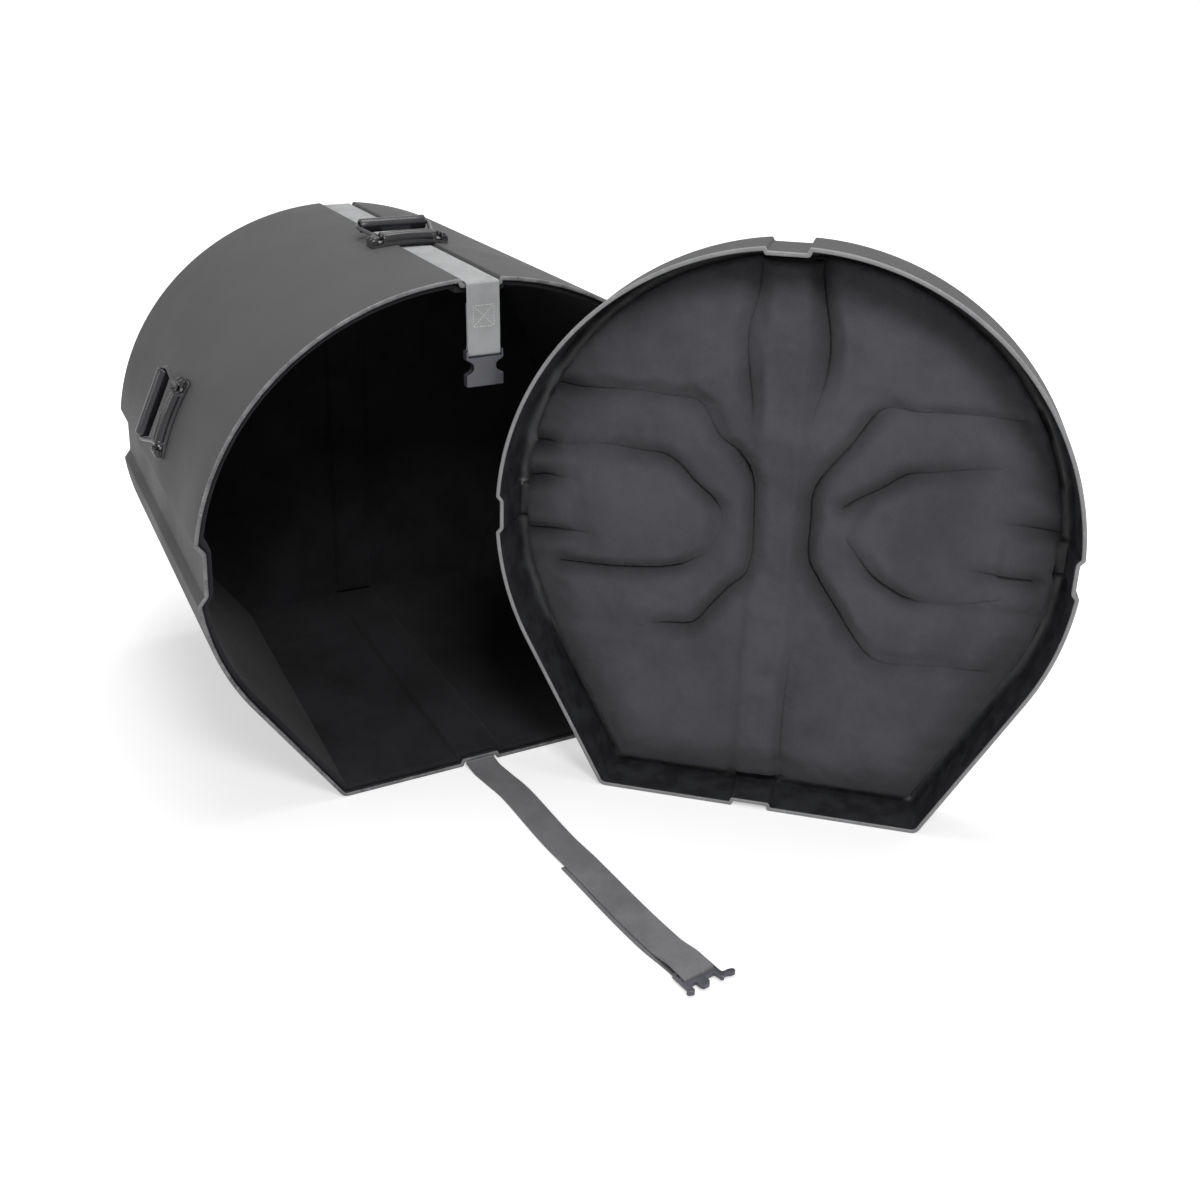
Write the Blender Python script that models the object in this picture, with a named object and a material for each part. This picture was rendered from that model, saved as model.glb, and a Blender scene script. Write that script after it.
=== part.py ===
# Moulded drum case, photographed open: the tub lies on its flat foot with its mouth to the front,
# and the lift-off lid stands beside it with its padded inside to the front.
# Metres, +Z up. The tub's mouth plane is y = 0 while the pieces are made, and its axis is x = 0.
# At the end the whole layout is moved so that the origin is under the middle of its box.

import math
from collections import namedtuple

import bpy
import bmesh
from mathutils import Matrix, Vector

# Clearances
GAP = 0.0003
BORE_GAP = 0.0003

# Shells and linings
SHELL_WALL = 0.0045
TUB_FOAM = 0.0060
LID_FOAM = 0.0125
FOOT_CORNER = 0.0110
MIN_RADIUS = 0.0015

# Tub: a D that lies on its flat foot, drawn in towards its closed back
TUB_HALF_WIDTH = 0.3251
TUB_RISE = 0.3024
TUB_CENTRE = 0.3014
TUB_FOOT = 0.1838
TUB_DEPTH = 0.5236
TUB_DRAFT = 0.0103
TUB_EDGE = 0.0150
TUB_LINING_START = 0.0060

# Side channels of the tub
TUB_SIDE_HEIGHT = 0.3170
TUB_SIDE_OUTER = 0.0340
TUB_SIDE_FLOOR = 0.0235
TUB_SIDE_DEPTH = 0.0090

# Lid: a shallow D pan, a little taller than the tub, which slips over the tub's mouth
LID_HALF_WIDTH = 0.3180
LID_RISE = 0.3252
LID_CENTRE = 0.3346
LID_FOOT = 0.1896
LID_DEPTH = 0.0676
LID_DRAFT = 0.0040
LID_EDGE = 0.0135
LID_SIDE_HEIGHT = 0.3410
LID_SIDE_OUTER = 0.0215
LID_SIDE_FLOOR = 0.0158
LID_SIDE_DEPTH = 0.0050
LID_LINING_EDGE = 0.0175

# Where the lid stands: the middle of its foot at the rim, and its turn about the upright
LID_X = 0.2460
LID_Y = -0.2348
LID_TURN = -0.7241

# Relief of the lid's face, seen from inside: the pads are pressed out, their tongues stay back
PAD_RISE = 0.0065
PAD_TOP = 0.4880
PAD_BOTTOM = 0.1970
PAD_SHOULDER = 0.1080
PAD_ELBOW = 0.0460
PAD_WAIST = 0.0320
PAD_WAIST_TOP = 0.3810
PAD_WAIST_BOTTOM = 0.3110
PAD_ELBOW_RISE = 0.0370
PAD_EDGE = 0.0040
PAD_SHELF = 0.0020
GROOVE_STEP = 0.0010
TONGUE_TOP = 0.4160
TONGUE_BOTTOM = 0.2690
TONGUE_NOSE = 0.0720
TONGUE_STRAIGHT = 0.1450
TONGUE_STEP = 0.0008
FACE_CHANNEL = 0.0070
FACE_SIDE_CHANNEL = 0.0060
FACE_SIDE_END = 0.2370
RELIEF_SLOPE = 0.9
OFFSET_SHARE = 0.41

# Webbing and the channels that it lies in
WEB_WIDTH = 0.0380
WEB_THICK = 0.0018
CHANNEL_FLOOR = WEB_WIDTH + 0.0035
CHANNEL_RUN = 0.0020
CHANNEL_DEPTH = 0.0060
LID_CHANNEL_FLOOR = WEB_WIDTH + 0.0010
LID_CHANNEL_RUN = 0.0020
CHANNEL_TOP_X = 0.0075
CHANNEL_FOOT_X = -0.0075
LID_CHANNEL_TOP_X = -0.0115
LID_CHANNEL_FOOT_X = -0.0060
LIP_RADIUS = 0.0015
BACK_BEND = 0.0030
PLY_GAP = 0.0004

# Hanging end and the socket half of the side-release buckle
HANG_BAR_Z = 0.5225
HANG_SHIFT = 0.0005
SEWN_LENGTH = 0.0400
BAR_RADIUS = 0.0015
SOCKET_WIDTH = 0.0430
SOCKET_LENGTH = 0.0365
SOCKET_THICK = 0.0110
SOCKET_RAIL = 0.0020
SOCKET_WAIST = 0.0260
SOCKET_WAIST_TOP = 0.0095
SOCKET_WAIST_BOTTOM = 0.0205
SOCKET_SHOULDER = 0.0030
SOCKET_CAVITY_WIDTH = 0.0355
SOCKET_CAVITY_THICK = 0.0070
SOCKET_CAVITY_DEPTH = 0.0270
SOCKET_RAIL_TOP = 0.0035

# Free run of webbing on the floor and the plug half of the buckle on its fold
RUN_OFFSET = 0.0015
RUN_DRIFT = (
    (0.0110, -0.0005), (0.0240, 0.0015), (0.0480, 0.0055), (0.0880, 0.0115), (0.1810, 0.0155),
    (0.2690, 0.0225), (0.3500, 0.0295), (0.4150, 0.0375),
)
RUN_END_DRIFT = 0.0415
RUN_FOLD_Y = -0.4566
RUN_TAIL_STEP = 0.0200
RUN_PLUG_RAMP = 0.0400
RUN_TAIL_CUT = 0.0120
RUN_TAIL_Y = -0.2190
RUN_DROP = 0.0240
PLUG_WIDTH = 0.0430
PLUG_THICK = 0.0060
PLUG_BAR = 0.0045
PLUG_SLOT = 0.0042
PLUG_CROSS = 0.0040
PLUG_PRONG = 0.0105
PLUG_FINGER = 0.0130
PLUG_FINGER_NECK = 0.0044
PLUG_FINGER_HEAD = 0.0060
PLUG_FINGER_LEAN = 0.0030
PLUG_TONGUE_SHIFT = 0.0020
PLUG_ARM = 0.0045
PLUG_BARB = 0.0035
PLUG_TONGUE = 0.0110
PLUG_TURN = 0.14

# Handles: a bowed base with two ridges, two ridged end caps, two rivets, a wire bail and its grip
HANDLE_Y = 0.2070
SIDE_HANDLE_ANGLE = 23.1
BASE_LENGTH = 0.0940
BASE_WIDTH = 0.0220
BASE_PLATE = 0.0045
BASE_BOW = 0.3100
BASE_SINK = 0.0060
SPAN_SINK = 0.0010
RIDGE_RISE = 0.0135
RIDGE_OFFSET = 0.0055
RIDGE_HALF = 0.0325
COLLAR_LENGTH = 0.0040
COLLAR_STEP = 0.0008
ARM_SLOT = 0.0070
CAP_PLATE = 0.0010
CAP_STEP = 0.0006
CAP_TAPER = 0.0040
CAP_DROP = 0.0024
WIRE_RADIUS = 0.0024
PIVOT_OUT = 0.0055
PIN_LENGTH = 0.0145
BAIL_REACH = 0.0535
BAIL_OUT = 0.0125
BAIL_HALF = 0.0445
BAIL_BEND = 0.0040
BAIL_SPREAD = 0.0002
BAIL_ELBOW = 0.0120
BAIL_KNEE = 0.0060
ARM_BEND = 0.0060
PIN_BEND = 0.0022
GRIP_RADIUS = 0.0082
GRIP_LENGTH = 0.0820
RIVET_HEAD = 0.0034
RIVET_DOME = 0.0016
RIVET_SHANK = 0.0020

# Counts of facets
LOWER_STEPS = 5
UPPER_STEPS = 13
CORNER_STEPS = 3
EDGE_STEPS = 4
WIRE_SIDES = 10
ROUND_SIDES = 14

Form = namedtuple(
    "Form",
    "half_width rise centre foot depth draft edge "
    "side_height side_outer side_floor side_depth top_x foot_x "
    "channel_floor channel_run",
)

TUB = Form(
    TUB_HALF_WIDTH, TUB_RISE, TUB_CENTRE, TUB_FOOT, TUB_DEPTH, TUB_DRAFT, TUB_EDGE,
    TUB_SIDE_HEIGHT, TUB_SIDE_OUTER, TUB_SIDE_FLOOR, TUB_SIDE_DEPTH,
    CHANNEL_TOP_X, CHANNEL_FOOT_X, CHANNEL_FLOOR, CHANNEL_RUN,
)
LID = Form(
    LID_HALF_WIDTH, LID_RISE, LID_CENTRE, LID_FOOT, LID_DEPTH, LID_DRAFT, LID_EDGE,
    LID_SIDE_HEIGHT, LID_SIDE_OUTER, LID_SIDE_FLOOR, LID_SIDE_DEPTH,
    LID_CHANNEL_TOP_X, LID_CHANNEL_FOOT_X, LID_CHANNEL_FLOOR, LID_CHANNEL_RUN,
)


def clear_scene():
    for item in list(bpy.data.objects):
        bpy.data.objects.remove(item, do_unlink=True)


def finish(name, colour, roughness, metallic=0.0):
    material = bpy.data.materials.new(name)
    material.use_nodes = True
    shader = material.node_tree.nodes["Principled BSDF"]
    shader.inputs["Base Color"].default_value = (*colour, 1.0)
    shader.inputs["Roughness"].default_value = roughness
    shader.inputs["Metallic"].default_value = metallic
    material.diffuse_color = (*colour, 1.0)
    return material


def solid(name, points, faces):
    mesh = bpy.data.meshes.new(name)
    mesh.from_pydata([tuple(p) for p in points], [], faces)
    work = bmesh.new()
    work.from_mesh(mesh)
    bmesh.ops.recalc_face_normals(work, faces=work.faces)
    work.to_mesh(mesh)
    work.free()
    item = bpy.data.objects.new(name, mesh)
    bpy.context.scene.collection.objects.link(item)
    return item


def loft(name, rings):
    # every side facet is split the same way, so that skins offset from each other stay parallel
    count = len(rings[0])
    points = [p for ring in rings for p in ring]
    faces = [tuple(range(count))]
    for r in range(len(rings) - 1):
        for i in range(count):
            j = (i + 1) % count
            near, after = r * count, (r + 1) * count
            faces.append((near + i, near + j, after + j))
            faces.append((near + i, after + j, after + i))
    last = (len(rings) - 1) * count
    faces.append(tuple(range(last + count - 1, last - 1, -1)))
    return solid(name, points, faces)


def lathe(name, profile, sides, frame):
    # profile: (distance along the axis, radius), open at neither end
    rings = []
    for along, radius in profile:
        ring = []
        for i in range(sides):
            turn = 2 * math.pi * i / sides
            spot = Vector((along, radius * math.cos(turn), radius * math.sin(turn)))
            ring.append(frame @ spot)
        rings.append(ring)
    return loft(name, rings)


def combine(target, tool, operation):
    # EXACT Boolean, applied at once; the tool is used up
    bpy.context.view_layer.update()
    step = target.modifiers.new(operation.lower(), "BOOLEAN")
    step.operation = operation
    step.solver = "EXACT"
    step.object = tool
    tool.hide_render = True
    tool.display_type = "WIRE"
    bpy.context.view_layer.update()
    graph = bpy.context.evaluated_depsgraph_get()
    made = bpy.data.meshes.new_from_object(target.evaluated_get(graph))
    target.modifiers.clear()
    target.data = made
    bpy.data.objects.remove(tool, do_unlink=True)
    return target


def dress(item, material, smooth=None):
    item.data.materials.clear()
    item.data.materials.append(material)
    item.data.name = item.name
    if smooth is not None:
        item.data.shade_smooth()
        item.data.set_sharp_from_angle(angle=math.radians(smooth))
    return item


def inward(points, distance):
    # mitred offset of a closed outline that runs anticlockwise
    result = []
    count = len(points)
    for i in range(count):
        before = Vector(points[i - 1])
        here = Vector(points[i])
        after = Vector(points[(i + 1) % count])
        a = (here - before).normalized()
        b = (after - here).normalized()
        na = Vector((-a.y, a.x))
        nb = Vector((-b.y, b.x))
        result.append(here + (na + nb) * (distance / (1 + na.dot(nb))))
    return result


def mirrored(points):
    return [(-p[0], p[1]) for p in reversed(points)]


def form_at(form, depth):
    draft = form.draft * depth / form.depth
    return form._replace(half_width=form.half_width - draft, foot=form.foot - draft)


def on_ellipse(form, angle):
    return (form.half_width * math.cos(angle), form.centre + form.rise * math.sin(angle))


def half_outline(form, top_x, foot_x):
    # from the foot channel's edge round to the top channel's edge, on the +X side
    foot_ratio = form.foot / form.half_width
    centre_ratio = -form.centre / form.rise
    flank = math.atan2(centre_ratio, foot_ratio) + math.acos(1 / math.hypot(foot_ratio, centre_ratio))

    def at_height(height):
        return math.asin((height - form.centre) / form.rise)

    half = form.channel_floor / 2
    low = at_height(form.side_height - form.side_outer)
    high = at_height(form.side_height + form.side_outer)
    floor_low = on_ellipse(form, at_height(form.side_height - form.side_floor))
    floor_high = on_ellipse(form, at_height(form.side_height + form.side_floor))
    top = math.acos((top_x + half + form.channel_run) / form.half_width)
    points = [(foot_x + half, CHANNEL_DEPTH), (foot_x + half + form.channel_run, 0.0), (form.foot, 0.0)]
    for i in range(LOWER_STEPS + 1):
        points.append(on_ellipse(form, flank + (low - flank) * i / LOWER_STEPS))
    points.append((floor_low[0] - form.side_depth, floor_low[1]))
    points.append((floor_high[0] - form.side_depth, floor_high[1]))
    for i in range(UPPER_STEPS + 1):
        points.append(on_ellipse(form, high + (top - high) * i / UPPER_STEPS))
    points.append((top_x + half, form.centre + form.rise - CHANNEL_DEPTH))
    return points


def rounded(points, corners, radius):
    result = []
    count = len(points)
    for i, point in enumerate(points):
        if i not in corners:
            result.append(tuple(point))
            continue
        here = Vector(point)
        back = (Vector(points[i - 1]) - here).normalized()
        ahead = (Vector(points[(i + 1) % count]) - here).normalized()
        half = back.angle(ahead) / 2
        reach = radius / math.tan(half)
        centre = here + (back + ahead).normalized() * (radius / math.sin(half))
        start = here + back * reach - centre
        end = here + ahead * reach - centre
        sweep = start.angle(end)
        for k in range(CORNER_STEPS + 1):
            share = k / CORNER_STEPS
            spot = (start * math.sin((1 - share) * sweep) + end * math.sin(share * sweep)) / math.sin(sweep)
            result.append(tuple(centre + spot))
    return result


def outline(form, inset):
    right = half_outline(form, form.top_x, form.foot_x)
    left = mirrored(half_outline(form, -form.top_x, -form.foot_x))
    points = inward(right + left, inset)
    corners = (2, len(points) - 3)
    return rounded(points, corners, max(FOOT_CORNER - inset, MIN_RADIUS))


def moulding(name, form, inset, start, depth=None, tuck=0.0):
    # solid D with a rounded closed end, everywhere this far inside the outer skin
    end = (form.depth if depth is None else depth) - inset
    radius = max(form.edge - inset, MIN_RADIUS)
    stations = [(start, inset)]
    for i in range(EDGE_STEPS + 1):
        turn = 0.5 * math.pi * i / EDGE_STEPS
        stations.append((end - radius + radius * math.sin(turn), inset + radius * (1 - math.cos(turn))))
    rings = []
    for y, offset in stations:
        flat = outline(form_at(form, y), offset + tuck)
        rings.append([(x, y, z) for x, z in flat])
    return loft(name, rings)


def frustum(name, near, near_y, far, far_y):
    rings = [[(p[0], near_y, p[1]) for p in near], [(p[0], far_y, p[1]) for p in far]]
    return loft(name, rings)


def channel_tool(name, form, depth, inset, top, bottom, rise=0.0):
    # upright groove in the closed face, following the line from the top channel to the foot channel
    floor_y = form.depth - depth - inset
    mouth_y = form.depth + rise + 0.02
    half = form.channel_floor / 2 - GROOVE_STEP + OFFSET_SHARE * inset
    wide = half + form.channel_run * (mouth_y - floor_y) / CHANNEL_DEPTH
    lean = (form.top_x - form.foot_x) / (form.centre + form.rise)
    rings = []
    for z in (bottom, top):
        x = form.foot_x + lean * z
        rings.append([(x - half, floor_y, z), (x + half, floor_y, z), (x + wide, mouth_y, z), (x - wide, mouth_y, z)])
    return loft(name, rings)


def tub_form(name, inset, start):
    body = moulding(name, TUB, inset, start)
    over = 2 * TUB_RISE + 0.1
    return combine(body, channel_tool("tool", TUB, FACE_CHANNEL, inset, over, -0.1), "DIFFERENCE")


def pad_outline():
    far = LID_HALF_WIDTH * 1.3
    mid = (PAD_WAIST_TOP - PAD_WAIST_BOTTOM) / 2
    high = PAD_WAIST_TOP + PAD_ELBOW_RISE
    low = PAD_WAIST_BOTTOM - PAD_ELBOW_RISE
    corner = PAD_SHOULDER - 0.6 * mid
    return [
        (far, PAD_BOTTOM),
        (far, PAD_TOP),
        (PAD_SHOULDER, PAD_TOP),
        (corner, PAD_TOP - 0.4 * mid),
        (PAD_ELBOW, high),
        (PAD_WAIST, PAD_WAIST_TOP),
        (PAD_WAIST, PAD_WAIST_BOTTOM),
        (PAD_ELBOW, low),
        (corner, PAD_BOTTOM + 0.4 * mid),
        (PAD_SHOULDER, PAD_BOTTOM),
    ]


def tongue_outline():
    far = LID_HALF_WIDTH * 1.3
    middle = (TONGUE_TOP + TONGUE_BOTTOM) / 2
    half = (TONGUE_TOP - TONGUE_BOTTOM) / 2
    reach = TONGUE_STRAIGHT - TONGUE_NOSE
    points = [(far, TONGUE_BOTTOM), (far, TONGUE_TOP)]
    steps = 8
    for i in range(steps + 1):
        turn = 0.5 * math.pi + math.pi * i / steps
        points.append((TONGUE_STRAIGHT + reach * math.cos(turn), middle + half * math.sin(turn)))
    return points


def lid_form(name, inset, start, tuck=LID_EDGE + PAD_SHELF):
    # The measured relief is that of the lining's face; every other skin is offset from it.
    full = SHELL_WALL + GAP + LID_FOAM
    grow = OFFSET_SHARE * (full - inset)
    face = LID_DEPTH - inset
    crest = face + PAD_RISE
    body = moulding(name, LID, inset, start)
    for side in (1, -1):
        pad = inward(pad_outline(), -grow)
        wide = inward(pad_outline(), -grow - RELIEF_SLOPE * (PAD_RISE + PAD_EDGE))
        tongue = inward(tongue_outline(), grow)
        narrow = inward(tongue_outline(), grow + RELIEF_SLOPE * (PAD_RISE - TONGUE_STEP))
        over = inward(tongue_outline(), grow - RELIEF_SLOPE * PAD_EDGE)
        if side < 0:
            pad, wide, narrow, over = mirrored(pad), mirrored(wide), mirrored(narrow), mirrored(over)
        deep = inward(pad_outline(), -grow + RELIEF_SLOPE * PAD_EDGE)
        if side < 0:
            deep = mirrored(deep)
        press = frustum("press", wide, face - PAD_EDGE, deep, crest + PAD_EDGE)
        clip = moulding("clip", LID, inset, face - 2 * PAD_EDGE, LID_DEPTH + PAD_RISE, tuck)
        combine(press, clip, "INTERSECT")
        combine(body, press, "UNION")
        cut = frustum("cut", narrow, face + TONGUE_STEP, over, crest + PAD_EDGE)
        combine(body, cut, "DIFFERENCE")
        combine(body, side_channel_tool(side, inset), "DIFFERENCE")
    tool = channel_tool("tool", LID, FACE_CHANNEL, inset, 2 * LID_RISE + 0.2, -0.1, PAD_RISE)
    return combine(body, tool, "DIFFERENCE")


def side_channel_tool(side, inset):
    floor_y = LID_DEPTH - FACE_SIDE_CHANNEL - inset
    mouth_y = LID_DEPTH + PAD_RISE + 0.02
    half = LID_SIDE_FLOOR - GROOVE_STEP + OFFSET_SHARE * inset
    slope = (LID_SIDE_OUTER - LID_SIDE_FLOOR) / LID_SIDE_DEPTH
    wide = half + slope * (mouth_y - floor_y)
    near = FACE_SIDE_END - OFFSET_SHARE * inset
    rings = []
    for x in (near, LID_HALF_WIDTH * 1.3):
        ring = [(floor_y, -half), (mouth_y, -wide), (mouth_y, wide), (floor_y, half)]
        rings.append([(side * x, y, LID_SIDE_HEIGHT + z) for y, z in ring])
    return loft("side_tool", rings)


def shell(name, form_maker):
    skin = form_maker(name, 0.0, 0.0)
    return combine(skin, form_maker("cavity", SHELL_WALL, -0.02), "DIFFERENCE")


def tub_lining():
    outer = tub_form("body_liner", SHELL_WALL + GAP, TUB_LINING_START)
    return combine(outer, tub_form("cavity", SHELL_WALL + GAP + TUB_FOAM, -0.02), "DIFFERENCE")


def lid_lining():
    # one pad on the flat of the face, open at its edges
    near = LID_DEPTH - SHELL_WALL - LID_FOAM - 2 * FACE_CHANNEL
    far = LID_DEPTH + 2 * PAD_RISE
    flat = outline(form_at(LID, LID_DEPTH), LID_LINING_EDGE)
    pad = frustum("lid_liner", flat, near, flat, far)
    combine(pad, lid_form("skin", SHELL_WALL + GAP, -0.01), "INTERSECT")
    front = lid_form("cavity", SHELL_WALL + GAP + LID_FOAM, -0.02, PAD_SHELF)
    return combine(pad, front, "DIFFERENCE")


def ribbon(name, points, sides, width, thick, lowest=None):
    # flat band along the points; sides holds the direction across it at each point
    rings = []
    count = len(points)
    for i in range(count):
        before = points[max(i - 1, 0)]
        after = points[min(i + 1, count - 1)]
        along = (after - before).normalized()
        across = sides[i].normalized()
        up = across.cross(along).normalized()
        here = points[i]
        half = thick / 2
        if 0 < i < count - 1:
            a = here - before
            b = after - here
            a -= across * a.dot(across)
            b -= across * b.dot(across)
            half /= max(math.cos(a.angle(b) / 2), 0.5)
        rings.append([
            here - across * width / 2 - up * half,
            here + across * width / 2 - up * half,
            here + across * width / 2 + up * half,
            here - across * width / 2 + up * half,
        ])
        if lowest is not None:
            for corner in rings[-1]:
                corner.z = max(corner.z, lowest)
    return loft(name, rings)


def arc(centre, radius, first, last, steps):
    result = []
    for i in range(steps + 1):
        turn = math.radians(first + (last - first) * i / steps)
        result.append((centre[0] + radius * math.cos(turn), centre[1] + radius * math.sin(turn)))
    return result


def wrap_levels():
    top = TUB_CENTRE + TUB_RISE - CHANNEL_DEPTH + GAP + WEB_THICK / 2
    foot = CHANNEL_DEPTH - GAP - WEB_THICK / 2
    back = TUB_DEPTH - FACE_CHANNEL + GAP + WEB_THICK / 2
    return top, foot, back


def hang_pivot():
    top, _, _ = wrap_levels()
    bend = LIP_RADIUS + WEB_THICK / 2
    return -bend, top - bend - GAP - WEB_THICK / 2


def strap_wrap():
    # over the lip, along the top, down the back and under the foot, all in its channel
    top, foot, back = wrap_levels()
    lip = LIP_RADIUS + WEB_THICK / 2
    height = top + foot
    lean = (CHANNEL_TOP_X - CHANNEL_FOOT_X) / height
    flat = arc((0.0, top - lip), lip, 180, 90, 5)
    flat += [(TUB_DEPTH * k / 4, top) for k in (1, 2, 3)]
    flat += arc((back - BACK_BEND, top - BACK_BEND), BACK_BEND, 90, 0, 5)
    flat += [(back, top + (foot - top) * k / 3) for k in (1, 2)]
    flat += arc((back - BACK_BEND, foot + BACK_BEND), BACK_BEND, 0, -90, 5)
    flat += [(TUB_DEPTH * k / 4, foot) for k in (3, 2, 1)]
    flat += [(0.0, foot)]
    points = []
    for y, z in flat:
        shift = HANG_SHIFT * max(0.0, 1 - max(y, 0) / 0.12) if z > top / 2 else 0.0
        points.append(Vector((CHANNEL_FOOT_X + lean * z + shift, y, z)))
    sides = [Vector((1, 0, 0))] * len(points)
    return ribbon("strap_wrap", points, sides, WEB_WIDTH, WEB_THICK)


def hanging_end():
    # straight down from the lip, round the buckle's bar and up behind itself to the sewn patch
    pivot_y, pivot_z = hang_pivot()
    turn = BAR_RADIUS + GAP + WEB_THICK / 2
    bar_y = pivot_y + turn
    half = WEB_THICK / 2
    ply = WEB_THICK + PLY_GAP
    drop = pivot_z - HANG_BAR_Z
    path = [(pivot_y, HANG_BAR_Z + share * drop) for share in (1.0, 0.8, 0.35)]
    path += arc((bar_y, HANG_BAR_Z), turn, 180, 360, 8)
    path += [(bar_y + 0.8 * turn, HANG_BAR_Z + 0.0035), (pivot_y + ply + 0.0006, HANG_BAR_Z + 0.0095)]
    path += [(pivot_y + ply, HANG_BAR_Z + 0.0140), (pivot_y + ply, HANG_BAR_Z + SEWN_LENGTH)]
    x = CHANNEL_TOP_X + HANG_SHIFT
    points = [Vector((x, y, z)) for y, z in path]
    band = ribbon("strap_hanging_end", points, [Vector((1, 0, 0))] * len(points), WEB_WIDTH, WEB_THICK)
    frame = Matrix.Translation((x - WEB_WIDTH / 2, pivot_y, pivot_z))
    knuckle = lathe("knuckle", [(0.0, half), (WEB_WIDTH, half)], ROUND_SIDES, frame)
    return combine(band, knuckle, "UNION")


def socket_outline():
    half = SOCKET_WIDTH / 2
    waist = SOCKET_WAIST / 2
    right = [
        (half, -SOCKET_LENGTH),
        (half, -SOCKET_WAIST_BOTTOM - SOCKET_SHOULDER),
        (waist + 0.35 * (half - waist), -SOCKET_WAIST_BOTTOM - 0.2 * SOCKET_SHOULDER),
        (waist, -SOCKET_WAIST_BOTTOM + SOCKET_SHOULDER),
        (waist, -SOCKET_WAIST_TOP - SOCKET_SHOULDER),
        (waist + 0.35 * (half - waist), -SOCKET_WAIST_TOP),
        (half, -SOCKET_WAIST_TOP + SOCKET_SHOULDER),
        (half, SOCKET_RAIL_TOP - 0.001),
        (half - 0.001, SOCKET_RAIL_TOP),
    ]
    return right + mirrored(right)


def bevelled(item, width):
    work = bmesh.new()
    work.from_mesh(item.data)
    sharp = [e for e in work.edges if e.calc_face_angle(0.0) > 0.6]
    bmesh.ops.bevel(work, geom=sharp, offset=width, segments=1, affect="EDGES", clamp_overlap=True)
    work.to_mesh(item.data)
    work.free()
    return item


def female_buckle():
    pivot_y, _ = hang_pivot()
    bar_y = pivot_y + BAR_RADIUS + GAP + WEB_THICK / 2
    x = CHANNEL_TOP_X + HANG_SHIFT
    flat = socket_outline()
    body = frustum("female_buckle", flat, -SOCKET_THICK / 2, flat, SOCKET_THICK / 2)
    bevelled(body, 0.0008)
    inner = SOCKET_WIDTH / 2 - SOCKET_RAIL
    collar = BAR_RADIUS + 2 * GAP + WEB_THICK + GAP
    window = [(-inner, -collar), (inner, -collar), (inner, 0.03), (-inner, 0.03)]
    combine(body, frustum("window", window, -0.02, window, 0.02), "DIFFERENCE")
    wide = SOCKET_CAVITY_WIDTH / 2
    cavity = [(-wide, -0.05), (wide, -0.05), (wide, SOCKET_CAVITY_DEPTH - SOCKET_LENGTH)]
    cavity += [(-wide, SOCKET_CAVITY_DEPTH - SOCKET_LENGTH)]
    deep = SOCKET_CAVITY_THICK / 2
    combine(body, frustum("cavity", cavity, -deep, cavity, deep), "DIFFERENCE")
    reach = SOCKET_WIDTH / 2 - SOCKET_RAIL / 2
    bar = lathe("bar", [(-reach, BAR_RADIUS), (reach, BAR_RADIUS)], ROUND_SIDES, Matrix.Identity(4))
    combine(body, bar, "UNION")
    body.location = (x, bar_y, HANG_BAR_Z)
    return body


def smooth_path(knots, steps):
    # Catmull-Rom through the knots
    result = []
    for i in range(len(knots) - 1):
        a = knots[max(i - 1, 0)]
        b = knots[i]
        c = knots[i + 1]
        d = knots[min(i + 2, len(knots) - 1)]
        for k in range(steps):
            t = k / steps
            p = [0.5 * (2 * b[j] + (c[j] - a[j]) * t + (2 * a[j] - 5 * b[j] + 4 * c[j] - d[j]) * t * t
                 + (3 * b[j] - a[j] - 3 * c[j] + d[j]) * t ** 3) for j in range(len(b))]
            result.append(p)
    result.append(list(knots[-1]))
    return result


def run_route():
    # where the webbing wandered on the floor: x at each distance from the mouth
    knots = [(CHANNEL_FOOT_X - RUN_OFFSET, -GAP - WEB_THICK / 2)]
    knots += [(CHANNEL_FOOT_X + drift, -away) for away, drift in RUN_DRIFT]
    knots.append((CHANNEL_FOOT_X + RUN_END_DRIFT, RUN_FOLD_Y))
    return smooth_path(knots, 3)


def plug_levels():
    floor = WEB_THICK / 2
    under = WEB_THICK + GAP
    over = under + PLUG_THICK + GAP + WEB_THICK / 2
    return floor, under, over


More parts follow.
